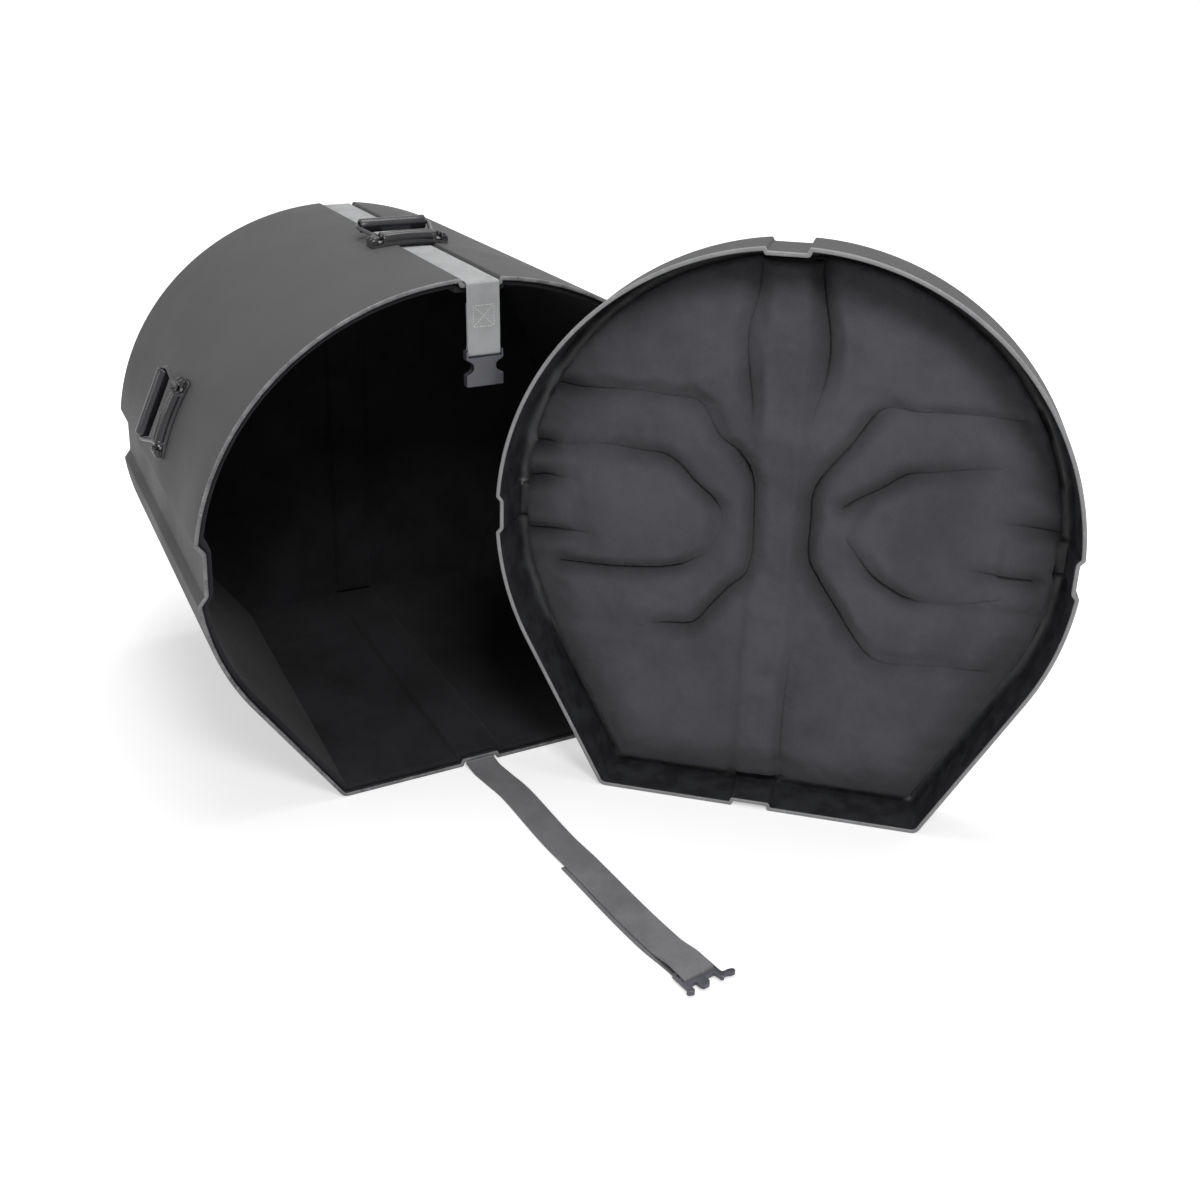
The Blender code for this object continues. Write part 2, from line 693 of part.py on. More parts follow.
def floor_run():
    floor, under, over = plug_levels()
    _, foot, _ = wrap_levels()
    ply = floor + WEB_THICK + PLY_GAP
    route = run_route()
    end = Vector(route[-1])
    heading = Vector((math.sin(PLUG_TURN), -math.cos(PLUG_TURN)))
    plug_start = PLUG_BAR * 2 + PLUG_SLOT * 2
    top = []
    for x, y in route:
        left = (end - Vector((x, y))).length
        if y > -RUN_DROP:
            share = -y / RUN_DROP
            z = foot + (floor - foot) * share * share * (3 - 2 * share)
        elif y > RUN_TAIL_Y + RUN_TAIL_STEP:
            z = floor
        elif y > RUN_TAIL_Y - RUN_TAIL_STEP:
            z = floor + (ply - floor) * (RUN_TAIL_Y + RUN_TAIL_STEP - y) / (2 * RUN_TAIL_STEP)
        elif left > plug_start + RUN_PLUG_RAMP:
            z = ply
        elif left > plug_start:
            z = ply + (over - ply) * (plug_start + RUN_PLUG_RAMP - left) / RUN_PLUG_RAMP
        else:
            z = over
        top.append(Vector((x, y, z)))
    top[0].z = foot
    across = [Vector((1, 0, 0))]
    for i in range(1, len(top)):
        step = top[min(i + 1, len(top) - 1)] - top[i - 1]
        flat = Vector((step.x, step.y, 0)).normalized()
        across.append(Vector((-flat.y, flat.x, 0)))
    turn = (over - floor) / 2
    side = Vector((-heading.y, heading.x, 0))
    fold = []
    for i in range(1, 8):
        angle = math.pi * i / 8
        reach = 0.45 * turn * math.sin(angle)
        fold.append(Vector((end.x + heading.x * reach, end.y + heading.y * reach, floor + turn + turn * math.cos(angle))))
    tail = []
    tail_across = []
    for p, a in zip(reversed(top), reversed(across)):
        if p.y < RUN_TAIL_Y - RUN_TAIL_CUT:
            tail.append(Vector((p.x, p.y, floor)))
            tail_across.append(a)
    points = top + fold + tail
    sides = across + [side] * len(fold) + tail_across
    sides = [s if s.x > 0 else -s for s in sides]
    band = ribbon("strap_floor_run", points, sides, WEB_WIDTH, WEB_THICK, lowest=0.0)
    half = WEB_THICK / 2
    start = top[0]
    frame = Matrix.Translation((start.x - WEB_WIDTH / 2, start.y, start.z))
    knuckle = lathe("knuckle", [(0.0, half), (WEB_WIDTH, half)], ROUND_SIDES, frame)
    return combine(band, knuckle, "UNION")


def plug_finger(half, middle):
    # short neck and a wider rounded head that stick out beside the arm
    neck = PLUG_FINGER_NECK / 2
    head = PLUG_FINGER_HEAD / 2
    shares = (
        (0.05, -neck), (0.38, -neck), (0.46, -head), (0.88, -0.9 * head), (1.0, -0.4 * head),
        (1.0, 0.4 * head), (0.88, 0.9 * head), (0.46, head), (0.38, neck), (0.05, neck),
    )
    return [(half + share * PLUG_FINGER, middle + off + share * PLUG_FINGER_LEAN) for share, off in shares]


def male_buckle():
    # ladder frame with two slots, a cross bar, two arms and the middle tongue; one arm ends in a side finger
    _, under, _ = plug_levels()
    half = PLUG_WIDTH / 2
    rail = (PLUG_WIDTH - WEB_WIDTH) / 2 - 2 * GAP
    front = WEB_THICK + 2 * GAP + 0.0012
    back = front - PLUG_SLOT * 2 - PLUG_BAR * 2
    cross = front + PLUG_CROSS
    tip = cross + PLUG_PRONG
    arm = half - PLUG_ARM
    tongue = PLUG_TONGUE / 2
    right = [
        (half, back),
        (half, cross),
        (half - 0.0008, cross + 0.4 * PLUG_PRONG),
        (half + PLUG_BARB, cross + 0.55 * PLUG_PRONG),
        (half + 0.6 * PLUG_BARB, cross + 0.8 * PLUG_PRONG),
        (half - 0.6 * PLUG_ARM, tip),
        (arm - 0.0005, tip - 0.0015),
        (arm - 0.0008, cross + 0.45 * PLUG_PRONG),
        (arm - 0.002, cross),
        (tongue + 0.0008, cross),
        (tongue, tip - 0.004),
        (tongue - 0.002, tip - 0.001),
    ]
    plain = [(-x - PLUG_TONGUE_SHIFT * (x < half / 2), -s) for x, s in reversed(right)]
    fingered = [(half, back), (half, cross)]
    fingered += plug_finger(half, cross + PLUG_PRONG / 2)
    fingered += right[5:]
    full = [(x - PLUG_TONGUE_SHIFT * (x < half / 2), -s) for x, s in fingered] + plain
    rings = [[(x, y, z) for x, y in full] for z in (0.0, PLUG_THICK)]
    body = loft("male_buckle", rings)
    bevelled(body, 0.0006)
    inner = half - rail
    bar_end = front - PLUG_SLOT
    for first in (bar_end, bar_end - PLUG_BAR - PLUG_SLOT):
        slot = [(-inner, -first), (inner, -first), (inner, -first - PLUG_SLOT), (-inner, -first - PLUG_SLOT)]
        rings = [[(x, y, z) for x, y in slot] for z in (-0.01, PLUG_THICK + 0.01)]
        combine(body, loft("slot", rings), "DIFFERENCE")
    x, y = run_route()[-1]
    body.matrix_world = Matrix.Translation((x, y, under)) @ Matrix.Rotation(PLUG_TURN, 4, "Z")
    return body


def skin_frame(angle):
    # frame on the tub's skin: X along the handle, Y to the back, Z out of the skin
    here = form_at(TUB, HANDLE_Y)
    turn = math.atan2(math.sin(angle) / here.rise, math.cos(angle) / here.half_width)
    x, z = on_ellipse(here, turn)
    out = Vector((math.cos(turn) / here.half_width, 0, math.sin(turn) / here.rise)).normalized()
    back = Vector((0, 1, 0))
    along = back.cross(out)
    frame = Matrix((along, back, out)).transposed().to_4x4()
    return Matrix.Translation((x, HANDLE_Y, z)) @ frame


def bowed(u, v, w):
    # the base follows the skin's curve
    return (u, v, w + math.sqrt(BASE_BOW ** 2 - u ** 2) - BASE_BOW)


def ridge_section(plate_top, crest, grow, bottom):
    # half-width of the plate, two round ridges on top
    half = BASE_WIDTH / 2 + grow
    points = [(-half, bottom), (half, bottom), (half, plate_top)]
    if crest <= plate_top:
        steps = [0.9, 0.8, 0.6, 0.4, 0.2, 0.0, -0.2, -0.4, -0.6, -0.8, -0.9]
        points += [(half * s, plate_top) for s in steps]
    else:
        rise = crest - plate_top + grow
        radius = RIDGE_OFFSET * 0.86 + grow / 2
        for centre in (RIDGE_OFFSET, -RIDGE_OFFSET):
            for turn in (10, 50, 90, 130, 170):
                a = math.radians(turn)
                points.append((centre + radius * math.cos(a), plate_top + rise * math.sin(a)))
            if centre > 0:
                points.append((0.0, plate_top + 0.1 * rise))
    points.append((-half, plate_top))
    return points


def ridged_bar(name, stations):
    rings = []
    for u, plate_top, crest, grow, bottom in stations:
        rings.append([bowed(u, v, w) for v, w in ridge_section(plate_top, crest, grow, bottom)])
    return loft(name, rings)


def handle(side, angle):
    frame = skin_frame(angle)
    half = BASE_LENGTH / 2
    cap_start = RIDGE_HALF + ARM_SLOT
    parts = {}

    collar = RIDGE_HALF - COLLAR_LENGTH
    right = [
        (0.0, BASE_PLATE, RIDGE_RISE, 0.0, -SPAN_SINK),
        (collar * 0.55, BASE_PLATE, RIDGE_RISE, 0.0, -SPAN_SINK),
        (collar, BASE_PLATE, RIDGE_RISE, 0.0, -SPAN_SINK),
        (collar + 0.0004, BASE_PLATE, RIDGE_RISE, COLLAR_STEP, -SPAN_SINK),
        (RIDGE_HALF, BASE_PLATE, RIDGE_RISE, COLLAR_STEP, -BASE_SINK),
        (RIDGE_HALF + 0.0002, BASE_PLATE, 0.0, 0.0, -BASE_SINK),
        (half, BASE_PLATE, 0.0, 0.0, -BASE_SINK),
    ]
    stations = [(-s[0], *s[1:]) for s in reversed(right[1:])] + right
    base = ridged_bar(side + "_handle_base", stations)
    for way in (-1, 1):
        start = way * (RIDGE_HALF - PIN_LENGTH - GAP)
        end = way * (RIDGE_HALF + 0.002)
        spot = Matrix.Translation((0, RIDGE_OFFSET, PIVOT_OUT))
        bore = WIRE_RADIUS + BORE_GAP
        combine(base, lathe("bore", [(start, bore), (end, bore)], WIRE_SIDES, spot), "DIFFERENCE")
        spot = rivet_frame(way)
        bore = RIVET_SHANK + BORE_GAP
        combine(base, lathe("hole", [(-0.02, bore), (0.02, bore)], WIRE_SIDES, spot), "DIFFERENCE")
    parts["base"] = base

    for way, label in ((-1, "low"), (1, "high")):
        name = side + "_handle_cap_" + label
        low = BASE_PLATE + GAP
        crest = RIDGE_RISE - CAP_STEP
        flat = [
            (cap_start, low + CAP_PLATE, crest, 0.0, low),
            (half - CAP_TAPER, low + CAP_PLATE, crest, 0.0, low),
            (half, low + CAP_PLATE, crest - CAP_DROP, -COLLAR_STEP / 2, low),
        ]
        if way < 0:
            flat = [(-s[0], *s[1:]) for s in reversed(flat)]
        parts["cap_" + label] = ridged_bar(name, flat)
        parts["rivet_" + label] = rivet(side + "_handle_rivet_" + label, way)

    parts["bail"] = bail(side + "_handle_bail")
    parts["grip"] = grip(side + "_handle_grip")

    for item in parts.values():
        item.matrix_world = frame
    for key in ("base", "rivet_low", "rivet_high"):
        combine(parts[key], moulding("skin", TUB, -GAP, -0.01), "DIFFERENCE")
    return parts, frame


def rivet_frame(way):
    u = way * (RIDGE_HALF + ARM_SLOT / 2)
    drop = math.sqrt(BASE_BOW ** 2 - u ** 2) - BASE_BOW
    lean = math.asin(u / BASE_BOW)
    place = Matrix.Translation((u, -RIDGE_OFFSET, BASE_PLATE + drop))
    return place @ Matrix.Rotation(lean, 4, "Y") @ Matrix.Rotation(-math.pi / 2, 4, "Y")


def rivet(name, way):
    profile = [
        (-BASE_SINK - BASE_PLATE, RIVET_SHANK),
        (GAP, RIVET_SHANK),
        (GAP, RIVET_HEAD),
        (0.5 * RIVET_DOME, 0.92 * RIVET_HEAD),
        (RIVET_DOME, 0.45 * RIVET_HEAD),
    ]
    return lathe(name, profile, WIRE_SIDES, rivet_frame(way))


def bend_path(corners, radius, steps):
    # straight runs joined by arcs of one radius
    points = [corners[0]]
    for i in range(1, len(corners) - 1):
        here = corners[i]
        back = (corners[i - 1] - here).normalized()
        ahead = (corners[i + 1] - here).normalized()
        half = back.angle(ahead) / 2
        reach = radius / math.tan(half)
        centre = here + (back + ahead).normalized() * (radius / math.sin(half))
        start = here + back * reach - centre
        end = here + ahead * reach - centre
        sweep = start.angle(end)
        for k in range(steps + 1):
            share = k / steps
            spot = start * math.sin((1 - share) * sweep) + end * math.sin(share * sweep)
            points.append(centre + spot / math.sin(sweep))
    points.append(corners[-1])
    return points


def wire(name, points, radius, sides):
    rings = []
    along = (points[1] - points[0]).normalized()
    across = along.orthogonal().normalized()
    for i, here in enumerate(points):
        before = points[max(i - 1, 0)]
        after = points[min(i + 1, len(points) - 1)]
        along = (after - before).normalized()
        across = (across - along * across.dot(along)).normalized()
        up = along.cross(across)
        ring = []
        for k in range(sides):
            turn = 2 * math.pi * k / sides
            ring.append(here + (across * math.cos(turn) + up * math.sin(turn)) * radius)
        rings.append(ring)
    return loft(name, rings)


def bail(name):
    arm = RIDGE_HALF + ARM_SLOT / 2
    slope = (BAIL_OUT - PIVOT_OUT) / (BAIL_REACH - RIDGE_OFFSET)

    def at(u, v):
        return Vector((u, v, PIVOT_OUT + slope * (v - RIDGE_OFFSET)))

    right = [
        Vector((RIDGE_HALF - PIN_LENGTH, RIDGE_OFFSET, PIVOT_OUT)),
        Vector((arm, RIDGE_OFFSET, PIVOT_OUT)),
        at(arm + BAIL_SPREAD, RIDGE_OFFSET + BAIL_ELBOW),
        at(BAIL_HALF, BAIL_REACH - BAIL_KNEE),
        at(BAIL_HALF, BAIL_REACH),
    ]
    corners = right + [Vector((-p.x, p.y, p.z)) for p in reversed(right)]
    points = [corners[0]]
    radii = [PIN_BEND, ARM_BEND, BAIL_BEND, BAIL_BEND]
    radii = radii + radii[::-1]
    for i in range(1, len(corners) - 1):
        before = points[-1]
        part = bend_path([before, corners[i], corners[i + 1]], radii[i - 1], 3)
        points += part[1:-1]
    points.append(corners[-1])
    return wire(name, points, WIRE_RADIUS, WIRE_SIDES)


def grip(name):
    half = GRIP_LENGTH / 2
    place = Matrix.Translation((0, BAIL_REACH, BAIL_OUT))
    profile = [(-half, 0.72 * GRIP_RADIUS), (-half + 0.0015, GRIP_RADIUS), (half - 0.0015, GRIP_RADIUS), (half, 0.72 * GRIP_RADIUS)]
    body = lathe(name, profile, ROUND_SIDES + 2, place)
    bore = WIRE_RADIUS + BORE_GAP
    return combine(body, lathe("bore", [(-half - 0.01, bore), (half + 0.01, bore)], WIRE_SIDES, place), "DIFFERENCE")


def hold(parent, items):
    bpy.context.view_layer.update()
    for item in items:
        world = item.matrix_world.copy()
        item.parent = parent
        item.matrix_parent_inverse = parent.matrix_world.inverted()
        item.matrix_world = world


def empty(name, matrix):
    item = bpy.data.objects.new(name, None)
    bpy.context.scene.collection.objects.link(item)
    item.matrix_world = matrix
    bpy.context.view_layer.update()
    return item


def layout_middle():
    bpy.context.view_layer.update()
    graph = bpy.context.evaluated_depsgraph_get()
    spots = []
    for item in bpy.data.objects:
        if item.type == "MESH":
            made = item.evaluated_get(graph)
            spots += [made.matrix_world @ v.co for v in made.data.vertices]
    low = [min(p[i] for p in spots) for i in range(3)]
    high = [max(p[i] for p in spots) for i in range(3)]
    return Vector(((low[0] + high[0]) / 2, (low[1] + high[1]) / 2, low[2]))


def build():
    clear_scene()
    moulded = finish("moulded_plastic", (0.105, 0.105, 0.110), 0.62)
    foam = finish("black_lining", (0.018, 0.018, 0.020), 0.95)
    padded = finish("brushed_lining", (0.040, 0.040, 0.043), 0.95)
    webbing = finish("grey_webbing", (0.200, 0.200, 0.205), 0.85)
    buckle = finish("buckle_plastic", (0.060, 0.060, 0.066), 0.42)
    glossy = finish("handle_plastic", (0.022, 0.022, 0.024), 0.30)
    steel = finish("coated_wire", (0.060, 0.060, 0.062), 0.35, 0.6)
    rubber = finish("grip_rubber", (0.020, 0.020, 0.023), 0.45)

    tub = dress(shell("body_shell", tub_form), moulded, 30)
    lining = dress(tub_lining(), foam, 30)
    pan = dress(shell("lid_shell", lid_form), moulded, 30)
    pad = dress(lid_lining(), padded, 30)
    wrap = dress(strap_wrap(), webbing, 30)
    hanging = dress(hanging_end(), webbing, 30)
    run = dress(floor_run(), webbing, 30)
    socket = dress(female_buckle(), buckle, 30)
    plug = dress(male_buckle(), buckle, 30)

    root = empty("case_frame", Matrix.Identity(4))
    hold(root, [tub, lining, wrap])

    stand = Matrix.Translation((LID_X, LID_Y, 0)) @ Matrix.Rotation(LID_TURN, 4, "Z")
    lid_root = empty("lid_frame", stand)
    for item in (pan, pad):
        item.matrix_world = stand
    hold(lid_root, [pan, pad])

    pivot_y, pivot_z = hang_pivot()
    x = CHANNEL_TOP_X + HANG_SHIFT
    hang_root = empty("hanging_strap_pivot", Matrix.Translation((x, pivot_y, pivot_z)))
    hold(hang_root, [hanging])
    bar_root = empty("female_buckle_pivot", socket.matrix_world.copy())
    hold(bar_root, [socket])
    _, foot, _ = wrap_levels()
    start = run_route()[0]
    run_root = empty("floor_strap_pivot", Matrix.Translation((start[0], start[1], foot)))
    hold(run_root, [run, plug])
    hold(hang_root, [bar_root])
    hold(root, [lid_root, hang_root, run_root])

    side = math.radians(SIDE_HANDLE_ANGLE)
    for label, angle in (("top", math.pi / 2), ("left", math.pi - side), ("right", side)):
        parts, frame = handle(label, angle)
        for key, item in parts.items():
            if key in ("bail", "rivet_low", "rivet_high"):
                dress(item, steel, 40)
            elif key == "grip":
                dress(item, rubber, 40)
            else:
                dress(item, glossy, 40)
        pivot = empty(label + "_handle_pivot", frame @ Matrix.Translation((0, RIDGE_OFFSET, PIVOT_OUT)))
        hold(pivot, [parts["bail"], parts["grip"]])
        hold(root, [item for key, item in parts.items() if key not in ("bail", "grip")] + [pivot])

    root.location = -layout_middle()
    bpy.context.view_layer.update()


build()
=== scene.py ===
import math

import bmesh
import bpy
import numpy as np
from mathutils import Matrix, Vector, noise
from mathutils.geometry import delaunay_2d_cdt


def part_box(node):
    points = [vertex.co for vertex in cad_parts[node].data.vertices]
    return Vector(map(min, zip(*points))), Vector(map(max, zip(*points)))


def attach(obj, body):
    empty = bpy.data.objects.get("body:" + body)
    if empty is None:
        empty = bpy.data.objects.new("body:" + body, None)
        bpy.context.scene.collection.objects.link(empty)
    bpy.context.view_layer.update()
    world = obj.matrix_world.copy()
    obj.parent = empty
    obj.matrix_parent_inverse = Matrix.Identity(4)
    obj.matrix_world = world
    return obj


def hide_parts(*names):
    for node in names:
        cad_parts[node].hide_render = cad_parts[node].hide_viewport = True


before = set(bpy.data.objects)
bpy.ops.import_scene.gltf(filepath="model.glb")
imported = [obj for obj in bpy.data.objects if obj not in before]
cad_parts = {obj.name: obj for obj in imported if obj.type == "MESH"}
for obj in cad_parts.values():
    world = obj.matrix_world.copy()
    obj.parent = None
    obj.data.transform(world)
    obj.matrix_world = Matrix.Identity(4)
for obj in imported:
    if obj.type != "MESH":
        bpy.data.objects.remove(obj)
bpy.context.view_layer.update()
print("frame loaded,", len(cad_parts), "solids")

# where the two halves stand: metres, and radians about the upright
layout = {
    "tubPlace": (-0.09601, -0.02331, 0.0),
    "lidPlace": (0.14999, -0.25811, 0.0),
    "lidTurn": -0.7241,
}
tubMatrix = Matrix.Translation(layout["tubPlace"])
lidMatrix = Matrix.Translation(layout["lidPlace"]) @ Matrix.Rotation(layout["lidTurn"], 4, "Z")

# the photograph's viewpoint: metres and radians, lens and sensor in millimetres
camera = {
    "place": (-0.62811, -1.33361, 0.9103),
    "yaw": -0.4841,
    "pitch": 0.4516,
    "roll": 0.0190,
    "lens": 39.75,
    "sensor": 36.0,
}


def placeCamera():
    ahead = Vector((-math.sin(camera["yaw"]), math.cos(camera["yaw"]), 0)) * math.cos(camera["pitch"])
    ahead.z = -math.sin(camera["pitch"])
    right = ahead.cross(Vector((0, 0, 1))).normalized()
    up = right.cross(ahead)
    tilt = camera["roll"]
    side = right * math.cos(tilt) + up * math.sin(tilt)
    top = side.cross(ahead)
    data = bpy.data.cameras.new("photoCamera")
    data.lens = camera["lens"]
    data.sensor_width = camera["sensor"]
    item = bpy.data.objects.new("photoCamera", data)
    bpy.context.scene.collection.objects.link(item)
    turn = Matrix((side, top, -ahead)).transposed().to_4x4()
    item.matrix_world = Matrix.Translation(camera["place"]) @ turn
    bpy.context.scene.camera = item


placeCamera()
print("camera placed")


def newGroup(name, inputs, outputs):
    tree = bpy.data.node_groups.new(name, "ShaderNodeTree")
    for label, kind, value in inputs:
        socket = tree.interface.new_socket(label, in_out="INPUT", socket_type=kind)
        if value is not None:
            socket.default_value = value
    for label, kind in outputs:
        tree.interface.new_socket(label, in_out="OUTPUT", socket_type=kind)
    return tree, tree.nodes.new("NodeGroupInput"), tree.nodes.new("NodeGroupOutput")


def addNode(tree, kind, links=(), **values):
    # links: (input name or number, source socket); values: properties of the node
    node = tree.nodes.new(kind)
    for key, value in values.items():
        setattr(node, key, value)
    for target, source in links:
        if isinstance(source, bpy.types.NodeSocket):
            tree.links.new(source, node.inputs[target])
        else:
            node.inputs[target].default_value = source
    return node


def mathNode(tree, operation, first, second=0.5, third=0.5):
    links = [(0, first), (1, second), (2, third)]
    return addNode(tree, "ShaderNodeMath", links, operation=operation).outputs[0]


def mapRange(tree, value, low, high, outLow=0.0, outHigh=1.0, smooth=True):
    kind = "SMOOTHSTEP" if smooth else "LINEAR"
    links = [("Value", value), ("From Min", low), ("From Max", high), ("To Min", outLow), ("To Max", outHigh)]
    return addNode(tree, "ShaderNodeMapRange", links, interpolation_type=kind).outputs[0]


def mixColour(tree, factor, first, second):
    links = [(0, factor), (6, first), (7, second)]
    return addNode(tree, "ShaderNodeMix", links, data_type="RGBA").outputs[2]


def makeGrainGroup():
    # fine pebble of moulded plastic, or the nap of brushed cloth, by its scale
    ports = [
        ("Vector", "NodeSocketVector", None), ("Scale", "NodeSocketFloat", 900.0),
        ("Roughness", "NodeSocketFloat", 0.6),
    ]
    results = [("Height", "NodeSocketFloat"), ("Speckle", "NodeSocketFloat")]
    tree, start, end = newGroup("fineGrain", ports, results)
    spot, scale, rough = start.outputs[0], start.outputs[1], start.outputs[2]
    links = [("Vector", spot), ("Scale", scale), ("Detail", 3.0), ("Roughness", rough)]
    soft = addNode(tree, "ShaderNodeTexNoise", links)
    links = [("Vector", spot), ("Scale", mathNode(tree, "MULTIPLY", scale, 1.7))]
    cells = addNode(tree, "ShaderNodeTexVoronoi", links, feature="SMOOTH_F1")
    both = mathNode(tree, "MULTIPLY_ADD", cells.outputs["Distance"], -0.5, soft.outputs["Fac"])
    tree.links.new(both, end.inputs[0])
    tree.links.new(mapRange(tree, soft.outputs["Fac"], 0.58, 0.74), end.inputs[1])
    return tree


def makeToneGroup():
    # slow drift between two tones, with a finer mottle in it
    ports = [
        ("Vector", "NodeSocketVector", None), ("Scale", "NodeSocketFloat", 4.0),
        ("Low", "NodeSocketColor", (0, 0, 0, 1)), ("High", "NodeSocketColor", (1, 1, 1, 1)),
    ]
    results = [("Color", "NodeSocketColor"), ("Value", "NodeSocketFloat")]
    tree, start, end = newGroup("toneDrift", ports, results)
    links = [("Vector", start.outputs[0]), ("Scale", start.outputs[1]), ("Detail", 5.0), ("Roughness", 0.62)]
    wide = addNode(tree, "ShaderNodeTexNoise", links)
    value = mapRange(tree, wide.outputs["Fac"], 0.3, 0.7)
    tree.links.new(mixColour(tree, value, start.outputs[2], start.outputs[3]), end.inputs[0])
    tree.links.new(value, end.inputs[1])
    return tree


def makeScuffGroup():
    # sparse thin scratches and rub marks
    ports = [
        ("Vector", "NodeSocketVector", None), ("Scale", "NodeSocketFloat", 14.0),
        ("Amount", "NodeSocketFloat", 0.5),
    ]
    tree, start, end = newGroup("rubMarks", ports, [("Mask", "NodeSocketFloat")])
    spot = start.outputs[0]
    bend = addNode(tree, "ShaderNodeTexNoise", [("Vector", spot), ("Scale", 3.0), ("Detail", 2.0)])
    shifted = addNode(tree, "ShaderNodeVectorMath", [(0, spot), (1, bend.outputs["Color"])], operation="ADD")
    links = [("Vector", shifted.outputs[0]), ("Scale", start.outputs[1])]
    lines = addNode(tree, "ShaderNodeTexVoronoi", links, feature="DISTANCE_TO_EDGE")
    thin = mapRange(tree, lines.outputs["Distance"], 0.0, 0.012, 1.0, 0.0)
    where = addNode(tree, "ShaderNodeTexNoise", [("Vector", spot), ("Scale", 9.0), ("Detail", 3.0)])
    both = mathNode(tree, "MULTIPLY", thin, mapRange(tree, where.outputs["Fac"], 0.56, 0.7))
    tree.links.new(mathNode(tree, "MULTIPLY", both, start.outputs[2]), end.inputs[0])
    return tree


def makeWebGroup():
    # woven band: ribs across the band and yarns along it; the UV map counts in metres; Shade is painted shade,
    # darker in the hollows between yarns
    ports = [
        ("Vector", "NodeSocketVector", None), ("Yarn", "NodeSocketFloat", 0.0012),
        ("Pick", "NodeSocketFloat", 0.0016),
    ]
    results = [("Height", "NodeSocketFloat"), ("Shade", "NodeSocketFloat")]
    tree, start, end = newGroup("wovenBand", ports, results)
    parts = addNode(tree, "ShaderNodeSeparateXYZ", [(0, start.outputs[0])])
    across = mathNode(tree, "DIVIDE", parts.outputs[0], start.outputs[1])
    along = mathNode(tree, "DIVIDE", parts.outputs[1], start.outputs[2])
    column = mathNode(tree, "FLOOR", across)
    odd = mathNode(tree, "MULTIPLY", mathNode(tree, "MODULO", column, 2.0), 0.5)
    step = mathNode(tree, "ADD", along, odd)
    yarn = mathNode(tree, "SINE", mathNode(tree, "MULTIPLY", mathNode(tree, "FRACT", across), math.pi))
    pick = mathNode(tree, "SINE", mathNode(tree, "MULTIPLY", mathNode(tree, "FRACT", step), math.pi))
    height = mathNode(tree, "MULTIPLY", yarn, pick)
    tree.links.new(height, end.inputs[0])
    tree.links.new(mapRange(tree, height, 0.0, 0.9, 0.45, 1.0), end.inputs[1])
    return tree


grainGroup = makeGrainGroup()
toneGroup = makeToneGroup()
scuffGroup = makeScuffGroup()
webGroup = makeWebGroup()


def useGroup(tree, group, links):
    return addNode(tree, "ShaderNodeGroup", links, node_tree=group)


def driftTone(tree, spot, scale, low, high):
    return useGroup(tree, toneGroup, [("Vector", spot), ("Scale", scale), ("Low", low), ("High", high)])


def rubMarks(tree, spot, scale, amount):
    return useGroup(tree, scuffGroup, [("Vector", spot), ("Scale", scale), ("Amount", amount)])


def fineGrain(tree, spot, scale):
    return useGroup(tree, grainGroup, [("Vector", spot), ("Scale", scale)])


def newMaterial(name):
    # a new material with its tree, its shader and the coordinates of the piece that wears it
    material = bpy.data.materials.new(name)
    material.use_nodes = True
    tree = material.node_tree
    spot = addNode(tree, "ShaderNodeTexCoord").outputs["Object"]
    return material, tree, tree.nodes["Principled BSDF"], spot


def bumpInto(tree, shader, height, strength, distance, before=None):
    links = [("Height", height), ("Strength", strength), ("Distance", distance)]
    if before is not None:
        links.append(("Normal", before))
    node = addNode(tree, "ShaderNodeBump", links)
    tree.links.new(node.outputs[0], shader.inputs["Normal"])
    return node.outputs[0]


plasticFinish = {
    "low": (0.076, 0.076, 0.078, 1), "high": (0.092, 0.092, 0.094, 1), "drift": 5.0,
    "rub": (0.16, 0.16, 0.165, 1), "rubScale": 16.0, "rubAmount": 0.3, "dust": 0.16,
    "roughness": (0.56, 0.7), "specular": 0.15,
    "pebble": 1100.0, "pebbleStrength": 0.55, "pebbleDepth": 0.00012,
}


def mouldedPlastic():
    v = plasticFinish
    material, tree, shader, spot = newMaterial("mouldedPlastic")
    tone = driftTone(tree, spot, v["drift"], v["low"], v["high"])
    rub = rubMarks(tree, spot, v["rubScale"], v["rubAmount"])
    grain = fineGrain(tree, spot, v["pebble"])
    dust = mathNode(tree, "MULTIPLY", grain.outputs["Speckle"], v["dust"])
    base = mixColour(tree, dust, tone.outputs["Color"], v["rub"])
    tree.links.new(mixColour(tree, rub.outputs["Mask"], base, v["rub"]), shader.inputs["Base Color"])
    dullness = mapRange(tree, tone.outputs["Value"], 0.0, 1.0, *v["roughness"])
    tree.links.new(dullness, shader.inputs["Roughness"])
    shader.inputs["Specular IOR Level"].default_value = v["specular"]
    bumpInto(tree, shader, grain.outputs["Height"], v["pebbleStrength"], v["pebbleDepth"])
    return material


rimFinish = {
    "tubRim": {
        "low": (0.10, 0.10, 0.104, 1), "high": (0.25, 0.25, 0.255, 1), "paintedGlint": (0.42, 0.42, 0.43, 1),
        "drift": 70.0, "roughness": (0.4, 0.7),
    },
    "lidRim": {
        "low": (0.24, 0.24, 0.245, 1), "high": (0.31, 0.31, 0.315, 1), "paintedGlint": (0.40, 0.40, 0.41, 1),
        "drift": 40.0, "roughness": (0.4, 0.55),
    },
    "grainPerDrift": 6, "grainStrength": 0.7, "grainDepth": 0.0003,
}


